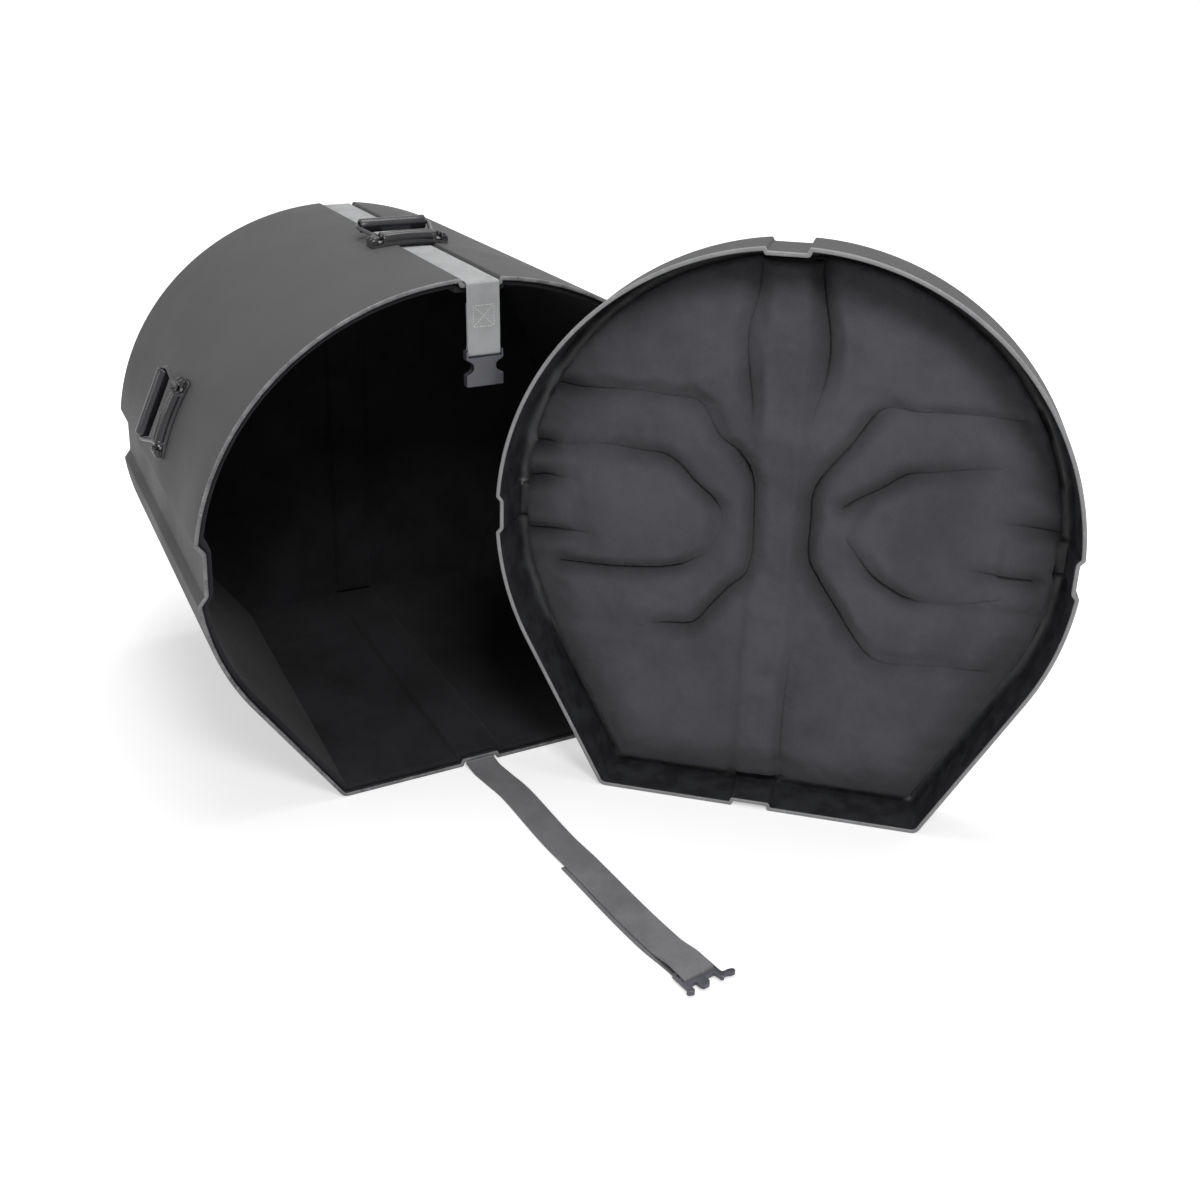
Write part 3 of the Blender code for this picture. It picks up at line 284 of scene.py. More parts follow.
def cutRim(name):
    # sawn and scraped edge of a mouth: paler than the skin, with small glints painted into its colour as pale
    # speckle
    v, shared = rimFinish[name], rimFinish
    material, tree, shader, spot = newMaterial(name)
    tone = driftTone(tree, spot, v["drift"], v["low"], v["high"])
    grain = fineGrain(tree, spot, v["drift"] * shared["grainPerDrift"])
    # pale speckle mixed into the colour: painted glints
    scraped = mixColour(tree, grain.outputs["Speckle"], tone.outputs["Color"], v["paintedGlint"])
    tree.links.new(scraped, shader.inputs["Base Color"])
    dullness = mapRange(tree, tone.outputs["Value"], 0.0, 1.0, *v["roughness"])
    tree.links.new(dullness, shader.inputs["Roughness"])
    bumpInto(tree, shader, grain.outputs["Height"], shared["grainStrength"], shared["grainDepth"])
    return material


# the last number of each lining is how strongly painted shade darkens it; the near-black colour among the
# shared values is that painted shade
liningFinish = {
    "blackLining": {
        "low": (0.018, 0.018, 0.020, 1), "high": (0.032, 0.032, 0.036, 1), "sheen": 0.06, "paintedShadeStrength": 0.0,
    },
    "brushedLining": {
        "low": (0.074, 0.072, 0.081, 1), "high": (0.104, 0.102, 0.114, 1), "sheen": 0.14, "paintedShadeStrength": 0.96,
    },
    "drift": 9.0, "nap": 1100.0, "napRoughness": 0.8, "foam": 160.0, "lint": 0.6, "lintLift": 2.4,
    "paintedShade": (0.004, 0.004, 0.004, 1), "roughness": 0.95, "specular": 0.1, "sheenRoughness": 0.5,
    "foamBump": (0.25, 0.0008), "napBump": (0.5, 0.0003),
}


def lining(name):
    # brushed cloth laminated on foam; a point attribute carries painted shade: dark on the pressed lines, in
    # the valleys beside them and near the pad's rim
    v, cloth = liningFinish, liningFinish[name]
    material, tree, shader, spot = newMaterial(name)
    tone = driftTone(tree, spot, v["drift"], cloth["low"], cloth["high"])
    links = [("Vector", spot), ("Scale", v["nap"]), ("Roughness", v["napRoughness"])]
    nap = useGroup(tree, grainGroup, links)
    soft = fineGrain(tree, spot, v["foam"])
    lint = mathNode(tree, "MULTIPLY", nap.outputs["Speckle"], v["lint"])
    pale = tuple(min(1, c * v["lintLift"]) for c in cloth["high"][:3]) + (1,)
    face = mixColour(tree, lint, tone.outputs["Color"], pale)
    # painted shade, mixed towards a near-black colour
    paintedShadeMask = addNode(tree, "ShaderNodeAttribute", attribute_name="paintedShade").outputs["Fac"]
    paintedDark = mathNode(tree, "MULTIPLY", paintedShadeMask, cloth["paintedShadeStrength"])
    tree.links.new(mixColour(tree, paintedDark, face, v["paintedShade"]), shader.inputs["Base Color"])
    shader.inputs["Roughness"].default_value = v["roughness"]
    shader.inputs["Specular IOR Level"].default_value = v["specular"]
    shader.inputs["Sheen Weight"].default_value = cloth["sheen"]
    shader.inputs["Sheen Roughness"].default_value = v["sheenRoughness"]
    first = bumpInto(tree, shader, soft.outputs["Height"], *v["foamBump"])
    bumpInto(tree, shader, nap.outputs["Height"], *v["napBump"], first)
    return material


webFinish = {
    "greyWebbing": {"low": (0.46, 0.47, 0.475, 1), "high": (0.62, 0.635, 0.64, 1)},
    # the floor strap's copy below is the same webbing made darker: painted shade
    "paintedShadeWebbing": {"low": (0.17, 0.17, 0.18, 1), "high": (0.25, 0.25, 0.26, 1)},
    "paintedDark": (0.09, 0.09, 0.092, 1), "yarn": 0.00105, "pick": 0.0021, "drift": 22.0, "nap": 2200.0,
    "roughness": 0.82, "sheen": 0.25, "weaveBump": (0.9, 0.00035), "napBump": (0.3, 0.0001),
}


def webbing(name):
    v, yarns = webFinish, webFinish[name]
    material, tree, shader, spot = newMaterial(name)
    flat = addNode(tree, "ShaderNodeUVMap", uv_map="web").outputs[0]
    weave = useGroup(tree, webGroup, [("Vector", flat), ("Yarn", v["yarn"]), ("Pick", v["pick"])])
    tone = driftTone(tree, spot, v["drift"], yarns["low"], yarns["high"])
    nap = fineGrain(tree, spot, v["nap"])
    # the weave's hollows are mixed towards the dark colour: painted shade
    woven = mixColour(tree, weave.outputs["Shade"], v["paintedDark"], tone.outputs["Color"])
    tree.links.new(woven, shader.inputs["Base Color"])
    shader.inputs["Roughness"].default_value = v["roughness"]
    shader.inputs["Sheen Weight"].default_value = v["sheen"]
    first = bumpInto(tree, shader, weave.outputs["Height"], *v["weaveBump"])
    bumpInto(tree, shader, nap.outputs["Height"], *v["napBump"], first)
    return material


# dark tone, pale tone, range of roughness, grain scale, grain depth in metres, share of rub marks
smallFinish = {
    # the inner skin is coloured far darker than the outer skin
    "innerPlastic": ((0.016, 0.016, 0.018, 1), (0.024, 0.025, 0.028, 1), (0.42, 0.58), 500.0, 0.00015, 0.15),
    "paleThread": ((0.62, 0.63, 0.62, 1), (0.78, 0.79, 0.78, 1), (0.6, 0.8), 3000.0, 0.00005, 0.0),
    "bucklePlastic": ((0.066, 0.067, 0.078, 1), (0.092, 0.093, 0.108, 1), (0.3, 0.42), 1800.0, 0.00004, 0.3),
    "handlePlastic": ((0.007, 0.007, 0.009, 1), (0.012, 0.012, 0.015, 1), (0.19, 0.24), 2600.0, 0.00001, 0.06),
    "coatedWire": ((0.03, 0.03, 0.033, 1), (0.05, 0.05, 0.054, 1), (0.24, 0.32), 1500.0, 0.00001, 0.1),
    "rivetMetal": ((0.16, 0.16, 0.165, 1), (0.24, 0.24, 0.245, 1), (0.2, 0.28), 1500.0, 0.00001, 0.1),
    "gripRubber": ((0.009, 0.009, 0.012, 1), (0.016, 0.016, 0.021, 1), (0.25, 0.32), 1300.0, 0.00001, 0.06),
}
smallShared = {"drift": 45.0, "rubScale": 90.0, "wornLift": 3, "wornAdd": 0.03, "grainStrength": 0.4}


def smallPart(name):
    # finish of the inner skin and of the small pieces
    v = smallShared
    low, high, roughness, grainScale, grainDepth, rubs = smallFinish[name]
    material, tree, shader, spot = newMaterial(name)
    tone = driftTone(tree, spot, v["drift"], low, high)
    rub = rubMarks(tree, spot, v["rubScale"], rubs)
    grain = fineGrain(tree, spot, grainScale)
    worn = tuple(min(1, c * v["wornLift"] + v["wornAdd"]) for c in high[:3]) + (1,)
    base = mixColour(tree, rub.outputs["Mask"], tone.outputs["Color"], worn)
    tree.links.new(base, shader.inputs["Base Color"])
    dullness = mapRange(tree, tone.outputs["Value"], 0.0, 1.0, *roughness)
    tree.links.new(dullness, shader.inputs["Roughness"])
    bumpInto(tree, shader, grain.outputs["Height"], v["grainStrength"], grainDepth)
    return material


mats = {"mouldedPlastic": mouldedPlastic()}
for finish in ("tubRim", "lidRim"):
    mats[finish] = cutRim(finish)
for finish in ("blackLining", "brushedLining"):
    mats[finish] = lining(finish)
for finish in ("greyWebbing", "paintedShadeWebbing"):
    mats[finish] = webbing(finish)
for finish in smallFinish:
    mats[finish] = smallPart(finish)
print("materials made:", len(mats))


def newPiece(name, points, faces, materials, faceSlots=None, smooth=None):
    mesh = bpy.data.meshes.new(name)
    mesh.from_pydata([tuple(p) for p in points], [], faces)
    for material in materials:
        mesh.materials.append(material)
    if faceSlots is not None:
        mesh.polygons.foreach_set("material_index", faceSlots)
    work = bmesh.new()
    work.from_mesh(mesh)
    bmesh.ops.recalc_face_normals(work, faces=work.faces)
    work.to_mesh(mesh)
    work.free()
    mesh.shade_smooth()
    if smooth is not None:
        mesh.set_sharp_from_angle(angle=math.radians(smooth))
    item = bpy.data.objects.new(name, mesh)
    bpy.context.scene.collection.objects.link(item)
    return item


def place(item, matrix, body, slotName, *nodes):
    # sets a finished piece in the shared frame, hangs it on the body it rides on and hides the solids it
    # stands for
    item.data.transform(matrix)
    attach(item, body)
    if nodes:
        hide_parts(*nodes)
    return item


def bridge(first, second, count):
    # quads between two closed rings that start at these indices
    return [(first + i, first + (i + 1) % count, second + (i + 1) % count, second + i) for i in range(count)]


def ringFaces(count, ring, capped=True):
    # quads between successive rings of points, with a face over each end
    faces = []
    for k in range(count - 1):
        faces += bridge(k * ring, (k + 1) * ring, ring)
    if capped:
        faces += [tuple(range(ring)), tuple(reversed(range((count - 1) * ring, count * ring)))]
    return faces


def inward(points, distance):
    # the closed outline moved in by this distance, corner by corner
    flat = np.array(points)
    ahead = np.roll(flat, -1, axis=0) - flat
    ahead /= np.linalg.norm(ahead, axis=1)[:, None]
    back = np.roll(ahead, 1, axis=0)
    nb = np.stack([-ahead[:, 1], ahead[:, 0]], 1)
    na = np.stack([-back[:, 1], back[:, 0]], 1)
    return flat + (na + nb) * (distance / (1 + (na * nb).sum(1)))[:, None]


def mirrored(points):
    return [(-x, z) for x, z in reversed([tuple(p) for p in points])]


def cornerArc(here, back, ahead, radius, steps):
    # arc that rounds the corner at "here"; back and ahead are the unit directions of its two sides
    half = back.angle(ahead) / 2
    reach = radius / math.tan(half)
    centre = here + (back + ahead).normalized() * (radius / math.sin(half))
    start = here + back * reach - centre
    end = here + ahead * reach - centre
    sweep = start.angle(end)
    points = []
    for k in range(steps + 1):
        share = k / steps
        spot = start * math.sin((1 - share) * sweep) + end * math.sin(share * sweep)
        points.append(centre + spot / math.sin(sweep))
    return points


def roundCorners(points, radii, steps=4, most=0.42):
    # arcs at the listed corners, each taking at most this share of the straight beside it
    result = []
    count = len(points)
    for i in range(count):
        if i not in radii:
            result.append(tuple(points[i]))
            continue
        here = Vector(points[i])
        back = Vector(points[i - 1]) - here
        ahead = Vector(points[(i + 1) % count]) - here
        room = most * min(back.length, ahead.length)
        back.normalize()
        ahead.normalize()
        radius = min(radii[i], room * math.tan(back.angle(ahead) / 2))
        result += [tuple(p) for p in cornerArc(here, back, ahead, radius, steps)]
    return result


def ease(value, low, high):
    t = np.clip((value - low) / (high - low), 0, 1)
    return t * t * (3 - 2 * t)


# the two D-shaped mouldings, seen from the front: x across, z up from the foot, depth from the mouth back
tubForm = {
    "halfWidth": 0.3251, "rise": 0.3024, "centre": 0.3014, "foot": 0.1838, "depth": 0.5236, "draft": 0.0103,
    "edge": 0.0150, "sideHeight": 0.3170, "sideOuter": 0.0340, "sideFloor": 0.0235, "sideDepth": 0.0090,
    "topX": 0.0075, "footX": -0.0075, "sideRound": 0.0045, "channelFloor": 0.0415, "channelRun": 0.0020,
}
lidForm = {
    "halfWidth": 0.3180, "rise": 0.3252, "centre": 0.3346, "foot": 0.1896, "depth": 0.0676, "draft": 0.0040,
    "edge": 0.0135, "sideHeight": 0.3410, "sideOuter": 0.0215, "sideFloor": 0.0158, "sideDepth": 0.0050,
    "topX": -0.0115, "footX": -0.0060, "sideRound": 0.0035, "channelFloor": 0.0390, "channelRun": 0.0020,
}
shellBuild = {
    "wall": 0.0045, "gap": 0.0003, "footCorner": 0.0110, "channelDepth": 0.0060, "channelRound": 0.0022,
    "lowerSteps": 22, "upperSteps": 96, "faceChannel": 0.0070, "faceSideChannel": 0.0060,
    "faceSideEnd": 0.2370,
    "tubFoam": 0.0060, "lidFoam": 0.0125, "liningStart": 0.0060, "liningEdge": 0.0175, "lip": 0.0013,
    "leastRound": 0.0010, "leastEdge": 0.0015, "skinStart": 0.004,
    "insetShift": 0.41,  # sideways move of a sloped edge for each metre of inset
    "channelSlack": 0.0010, "channelRamp": (0.0004, 0.0026),
    "slotRamp": (0.001, 0.0055), "slotEnd": (0.003, 0.004),
}


def halfOutline(form, topX, footX, shrink):
    # from the foot channel round to the top channel on one side, and the corners that are rounded
    b = shellBuild
    halfWidth = form["halfWidth"] - shrink
    foot = form["foot"] - shrink
    low = -form["centre"] / form["rise"]
    flank = math.atan2(low, foot / halfWidth) + math.acos(1 / math.hypot(foot / halfWidth, low))
    half = form["channelFloor"] / 2
    run = form["channelRun"]

    def atHeight(height):
        return math.asin((height - form["centre"]) / form["rise"])

    def onCurve(angle):
        return (halfWidth * math.cos(angle), form["centre"] + form["rise"] * math.sin(angle))

    lower = atHeight(form["sideHeight"] - form["sideOuter"])
    upper = atHeight(form["sideHeight"] + form["sideOuter"])
    floorLow = onCurve(atHeight(form["sideHeight"] - form["sideFloor"]))
    floorHigh = onCurve(atHeight(form["sideHeight"] + form["sideFloor"]))
    top = math.acos((topX + half + run) / halfWidth)
    points = [(footX + half, b["channelDepth"]), (footX + half + run, 0.0), (foot, 0.0)]
    corners = {0: b["channelRound"], 1: -b["channelRound"], 2: -b["footCorner"]}
    for i in range(b["lowerSteps"] + 1):
        points.append(onCurve(flank + (lower - flank) * i / b["lowerSteps"]))
    corners[len(points) - 1] = -form["sideRound"]
    for x, z in (floorLow, floorHigh):
        points.append((x - form["sideDepth"], z))
        corners[len(points) - 1] = form["sideRound"]
    for i in range(b["upperSteps"] + 1):
        if i == 0:
            corners[len(points)] = -form["sideRound"]
        points.append(onCurve(upper + (top - upper) * i / b["upperSteps"]))
    corners[len(points) - 1] = -b["channelRound"]
    points.append((topX + half, form["centre"] + form["rise"] - b["channelDepth"]))
    corners[len(points) - 1] = b["channelRound"]
    return points, corners


def outline(form, depth, inset):
    shrink = form["draft"] * depth / form["depth"]
    right, corners = halfOutline(form, form["topX"], form["footX"], shrink)
    left, _ = halfOutline(form, -form["topX"], -form["footX"], shrink)
    count = len(right)
    radii = {}
    for i, radius in corners.items():
        # a negative radius stands for a corner that sticks out
        now = max(-radius - inset, shellBuild["leastRound"]) if radius < 0 else radius + inset
        radii[i] = now
        radii[2 * count - 1 - i] = now
    return roundCorners([tuple(p) for p in inward(right + mirrored(left), inset)], radii)


def channelLean(form):
    return (form["topX"] - form["footX"]) / (form["centre"] + form["rise"])


def channelCut(form, spots, floorDepth, inset):
    # how far the upright channel is cut into the closed face at each (x, z), 0 outside
    b = shellBuild
    away = np.abs(spots[:, 0] - form["footX"] - channelLean(form) * spots[:, 1])
    half = form["channelFloor"] / 2 - b["channelSlack"] + b["insetShift"] * inset
    return floorDepth * (1 - ease(away, half - b["channelRamp"][0], half + b["channelRamp"][1]))


def wallRings(form, stations):
    # the outline repeated at each (depth along the form, inset)
    points = []
    for y, inset in stations:
        points += [(x, y, z) for x, z in outline(form, max(y, 0.0), inset)]
    return points


def edgeStations(form, inset, start, steps=8, wallSteps=10):
    # along the wall, then round the edge into the closed face
    end = form["depth"] - inset
    radius = max(form["edge"] - inset, shellBuild["leastEdge"])
    stations = []
    for i in range(wallSteps):
        stations.append((start + (end - radius - start) * i / wallSteps, inset))
    for i in range(steps + 1):
        turn = 0.5 * math.pi * i / steps
        stations.append((end - radius + radius * math.sin(turn), inset + radius * (1 - math.cos(turn))))
    return stations


def insideDistance(spots, loop):
    # distance to a closed outline, positive inside it
    a = np.array(loop, float)
    b = np.roll(a, -1, axis=0)
    best = np.full(len(spots), 1e9)
    inside = np.zeros(len(spots), bool)
    for p, q in zip(a, b):
        d = q - p
        size = d @ d
        if size < 1e-14:
            continue
        t = np.clip(((spots - p) @ d) / size, 0, 1)
        gap = spots - p - t[:, None] * d
        best = np.minimum(best, np.hypot(gap[:, 0], gap[:, 1]))
        crosses = (p[1] > spots[:, 1]) != (q[1] > spots[:, 1])
        if abs(d[1]) > 1e-12:
            inside ^= crosses & (spots[:, 0] < p[0] + (spots[:, 1] - p[1]) * d[0] / d[1])
    return np.where(inside, best, -best)


def resample(line, spacing):
    # points at even distances along a line
    flat = np.array(line, float)
    steps = np.hypot(*np.diff(flat, axis=0).T)
    along = np.concatenate([[0], np.cumsum(steps)])
    count = max(2, int(along[-1] / spacing) + 1)
    want = np.linspace(0, along[-1], count)
    return np.stack([np.interp(want, along, flat[:, 0]), np.interp(want, along, flat[:, 1])], 1)


def rowsAlong(line, offsets, spacing):
    # rows of points beside a line, one for each offset
    flat = resample(line, spacing)
    tangent = np.gradient(flat, axis=0)
    tangent /= np.maximum(np.linalg.norm(tangent, axis=1), 1e-9)[:, None]
    normal = np.stack([-tangent[:, 1], tangent[:, 0]], 1)
    return np.concatenate([flat + normal * o for o in offsets])


def thinOut(wanted, closest, cells, kept):
    # keeps each point that is at least this far from those kept before it
    for x, z in wanted:
        key = (int(x // closest), int(z // closest))
        near = False
        for i in (-1, 0, 1):
            for j in (-1, 0, 1):
                for other in cells.get((key[0] + i, key[1] + j), ()):
                    if (other[0] - x) ** 2 + (other[1] - z) ** 2 < closest * closest:
                        near = True
        if not near:
            cells.setdefault(key, []).append((x, z))
            kept.append((x, z))


netRules = {"rowGap": 0.0011, "rowBorder": 0.0015, "gridRow": 0.866, "gridBorder": 0.45, "gridGap": 0.55}


def netInside(loop, rows, spacing):
    # points on rows first, a hexagonal grid in the rest, joined by triangles inside the loop
    v = netRules
    loopPoints = [tuple(p) for p in loop]
    flat = np.array(loopPoints)
    low, high = flat.min(0), flat.max(0)
    grid = []
    for j, z in enumerate(np.arange(low[1], high[1], spacing * v["gridRow"])):
        for x in np.arange(low[0] + (j % 2) * spacing / 2, high[0], spacing):
            grid.append((x, z))
    kept = []
    if rows:
        wanted = np.concatenate([np.array(r) for r in rows])
        wanted = wanted[insideDistance(wanted, loopPoints) > v["rowBorder"]]
        thinOut([tuple(w) for w in wanted], v["rowGap"], {}, kept)
    wanted = np.array(grid)
    wanted = wanted[insideDistance(wanted, loopPoints) > spacing * v["gridBorder"]]
    closest = spacing * v["gridGap"]
    cells = {}
    for x, z in kept:
        cells.setdefault((int(x // closest), int(z // closest)), []).append((x, z))
    thinOut([tuple(w) for w in wanted], closest, cells, kept)
    count = len(loopPoints)
    edges = [(i, (i + 1) % count) for i in range(count)]
    spots = [Vector(p) for p in loopPoints + kept]
    verts, _, faces, origins, _, _ = delaunay_2d_cdt(spots, edges, [], 1, 1e-7)
    return np.array([tuple(v) for v in verts]), [tuple(f) for f in faces], origins


# raised fields and sunk tongues of the lid's face
lidRelief = {
    "rise": 0.0065, "top": 0.4880, "bottom": 0.1970, "shoulder": 0.1080, "elbow": 0.0460, "waist": 0.0320,
    "waistTop": 0.3810, "waistBottom": 0.3110, "elbowRise": 0.0370, "far": 0.42,
    "tongueTop": 0.4160, "tongueBottom": 0.2690, "tongueNose": 0.0720, "tongueStraight": 0.1450,
    "tongueStep": 0.0008, "padInset": 0.0173, "wallRun": 0.0062, "border": (0.0005, 0.0075),
    "channelFade": 0.002, "slotLift": 0.006,
    "rowOffsets": [-0.0045, -0.0030, -0.0015, 0.0, 0.0015, 0.0030, 0.0045], "rowStep": 0.004,
}


def padLoop(side):
    # outline of a raised field; it runs on past the lid's side
    r = lidRelief
    far = r["far"]
    mid = (r["waistTop"] - r["waistBottom"]) / 2
    corner = r["shoulder"] - 0.6 * mid
    points = [
        (far, r["bottom"]), (far, r["top"]), (r["shoulder"], r["top"]), (corner, r["top"] - 0.4 * mid),
        (r["elbow"], r["waistTop"] + r["elbowRise"]), (r["waist"], r["waistTop"]),
        (r["waist"], r["waistBottom"]), (r["elbow"], r["waistBottom"] - r["elbowRise"]),
        (corner, r["bottom"] + 0.4 * mid), (r["shoulder"], r["bottom"]),
    ]
    return points if side > 0 else mirrored(points)


def tongueLoop(side):
    # outline of a sunk tongue, with a round nose towards the middle
    r = lidRelief
    middle = (r["tongueTop"] + r["tongueBottom"]) / 2
    half = (r["tongueTop"] - r["tongueBottom"]) / 2
    reach = r["tongueStraight"] - r["tongueNose"]
    points = [(r["far"], r["tongueBottom"]), (r["far"], r["tongueTop"])]
    for i in range(25):
        turn = 0.5 * math.pi + math.pi * i / 24
        points.append((r["tongueStraight"] + reach * math.cos(turn), middle + half * math.sin(turn)))
    return points if side > 0 else mirrored(points)


def sideSlot(spots, inset):
    # sunk band that carries each side channel a little way into the face
    b = shellBuild
    half = lidForm["sideFloor"] + b["insetShift"] * inset
    ramp, end = b["slotRamp"], b["slotEnd"]
    up = 1 - ease(np.abs(spots[:, 1] - lidForm["sideHeight"]), half - ramp[0], half + ramp[1])
    reach = ease(np.abs(spots[:, 0]), b["faceSideEnd"] - end[0], b["faceSideEnd"] + end[1])
    return b["faceSideChannel"] * up * reach


def lidHeights(spots, loop, inset):
    # how far the face stands outward of its plane, by (x, z)
    r = lidRelief
    run = r["wallRun"] / 2
    grow = shellBuild["insetShift"] * (r["padInset"] - inset)
    raised = np.zeros(len(spots))
    for side in (1, -1):
        pad = insideDistance(spots, padLoop(side)) + grow
        tongue = insideDistance(spots, tongueLoop(side)) - grow
        lift = r["rise"] * ease(pad, -run, run)
        raised += lift - (lift - r["tongueStep"] * (lift > 0)) * ease(tongue, -run, run)
    raised *= ease(insideDistance(spots, loop), *r["border"])
    cut = channelCut(lidForm, spots, shellBuild["faceChannel"], inset)
    face = np.minimum(raised, raised * (1 - ease(cut, 0, r["channelFade"])) - cut)
    return face - sideSlot(spots, inset) * (1 + raised / r["slotLift"])


def tubHeights(spots, loop, inset):
    # the tub's face has its channel only; the loop is there for the shared call
    return -channelCut(tubForm, spots, shellBuild["faceChannel"], inset)


def skin(form, stations, inset, rows, heights, spacing):
    # rings along the wall, closed at the back by a worked net; also gives the size of a ring
    points = wallRings(form, stations)
    ring = len(points) // len(stations)
    faces = ringFaces(len(stations), ring, capped=False)
    start = (len(stations) - 1) * ring
    level = points[start][1]
    loop = [(points[start + i][0], points[start + i][2]) for i in range(ring)]
    flat, tris, origins = netInside(loop, rows, spacing)
    index = []
    for spot, origin in zip(flat, origins):
        if origin and origin[0] < ring:
            index.append(start + origin[0])
        else:
            index.append(len(points))
            points.append((spot[0], level, spot[1]))
    faces += [tuple(index[i] for i in t) for t in tris]
    points = np.array(points)
    lift = heights(points[:, [0, 2]], loop, inset)
    onFace = np.arange(len(points)) >= start
    points[:, 1] = np.where(onFace, level + lift, np.minimum(points[:, 1], level + np.minimum(lift, 0.0)))
    return points, faces, ring


def joinSkins(first, second):
    # one closed piece of two skins, bridged at their first rings
    points = np.concatenate([first[0], second[0]])
    shift = len(first[0])
    faces = first[1] + [tuple(i + shift for i in f) for f in second[1]]
    return [tuple(p) for p in points], faces + bridge(0, shift, first[2])


def channelRows(form, inset=0.0):
    # rows of points along both shoulders of the face's upright channel
    lean, high = channelLean(form), 0.7
    rows = []
    for way in (-1, 1):
        x = form["footX"] + way * (form["channelFloor"] / 2 + 0.0001 + shellBuild["insetShift"] * inset)
        line = [(x, 0.0), (x + lean * high, high)]
        rows.append(rowsAlong(line, [-0.0021, -0.0007, 0.0007, 0.0021], 0.006))
    return rows


def reliefRows():
    r = lidRelief
    rows = []
    for side in (1, -1):
        for loop in (padLoop(side), tongueLoop(side)):
            rows.append(rowsAlong(loop + loop[:1], r["rowOffsets"], r["rowStep"]))
    return rows


def shellPiece(name, form, heights, rows, nets, rim, body, node, matrix):
    # outer skin and inner skin joined at a rounded lip; the lip's rings wear the rim's material
    b = shellBuild
    wall, lip, start = b["wall"], b["lip"], b["skinStart"]
    outer = [(0.0, wall / 2), (0.0, lip), (lip * 0.3, lip * 0.3), (lip, 0.0)]
    inner = [(0.0, wall - lip), (lip * 0.3, wall - lip * 0.3), (lip, wall)]
    outside = skin(form, outer + edgeStations(form, 0.0, start), 0.0, rows, heights, nets[0])
    inRows = channelRows(form, wall)
    inside = skin(form, inner + edgeStations(form, wall, start), wall, inRows, heights, nets[1])
    ring = outside[2]
    outerLip, innerLip = (len(outer) - 1) * ring, (len(inner) - 1) * ring
    points, faces = joinSkins(outside, inside)
    slots = [1] * outerLip + [0] * (len(outside[1]) - outerLip)
    slots += [1] * innerLip + [2] * (len(inside[1]) - innerLip) + [1] * ring
    finishes = [mats["mouldedPlastic"], mats[rim], mats["innerPlastic"]]
    item = newPiece(name, points, faces, finishes, slots, smooth=50)
    return place(item, matrix, body, "moulded_plastic", node)


tubShell = shellPiece("tubShell", tubForm, tubHeights, channelRows(tubForm), (0.016, 0.016),
                      "tubRim", "case_body", "body_shell", tubMatrix)
print("tub shell:", len(tubShell.data.polygons), "faces")
lidShell = shellPiece("lidShell", lidForm, lidHeights, channelRows(lidForm) + reliefRows(), (0.006, 0.012),
                      "lidRim", "lid", "lid_shell", lidMatrix)
print("lid shell:", len(lidShell.data.polygons), "faces")

tubLining = {
    "wave": 0.0006, "waveSize": 0.09, "waveCap": 0.8, "edgeRound": 0.0030, "net": 0.0120,
    "nearRun": 0.010, "farRun": 0.006, "farGap": 0.0004,
}


def makeTubLiner():
    # foam-backed cloth that follows the tub's inner skin, with slow waves in it
    b, v = shellBuild, tubLining
    outerInset = b["wall"] + b["gap"]
    innerInset = outerInset + b["tubFoam"]
    farInset = outerInset + v["farGap"]
    soft = v["edgeRound"]
    start = b["liningStart"]
    near = [(start, innerInset - soft), (start + soft * 0.3, innerInset - soft * 0.3)]
    near.append((start + soft, innerInset))
    far = [(start, farInset)] + edgeStations(tubForm, farInset, start + v["farRun"], steps=4, wallSteps=3)
    edgeRings = len(near)
    near += edgeStations(tubForm, innerInset, start + v["nearRun"], steps=7, wallSteps=42)
    inner = skin(tubForm, near, innerInset, channelRows(tubForm, innerInset), tubHeights, v["net"])
    outer = skin(tubForm, far, outerInset, channelRows(tubForm, outerInset), tubHeights, v["net"])
    points, faces = joinSkins(inner, outer)
    item = newPiece("tubLiner", points, faces, [mats["blackLining"]])
    for vertex in list(item.data.vertices)[edgeRings * inner[2]:len(inner[0])]:
        ripple = noise.noise(vertex.co / v["waveSize"]) + 0.4 * noise.noise(vertex.co * 2.7 / v["waveSize"])
        vertex.co += vertex.normal * v["wave"] * min(ripple, v["waveCap"])
    place(item, tubMatrix, "case_body", "black_lining", "body_liner")
    return item


makeTubLiner()
print("tub lining made")

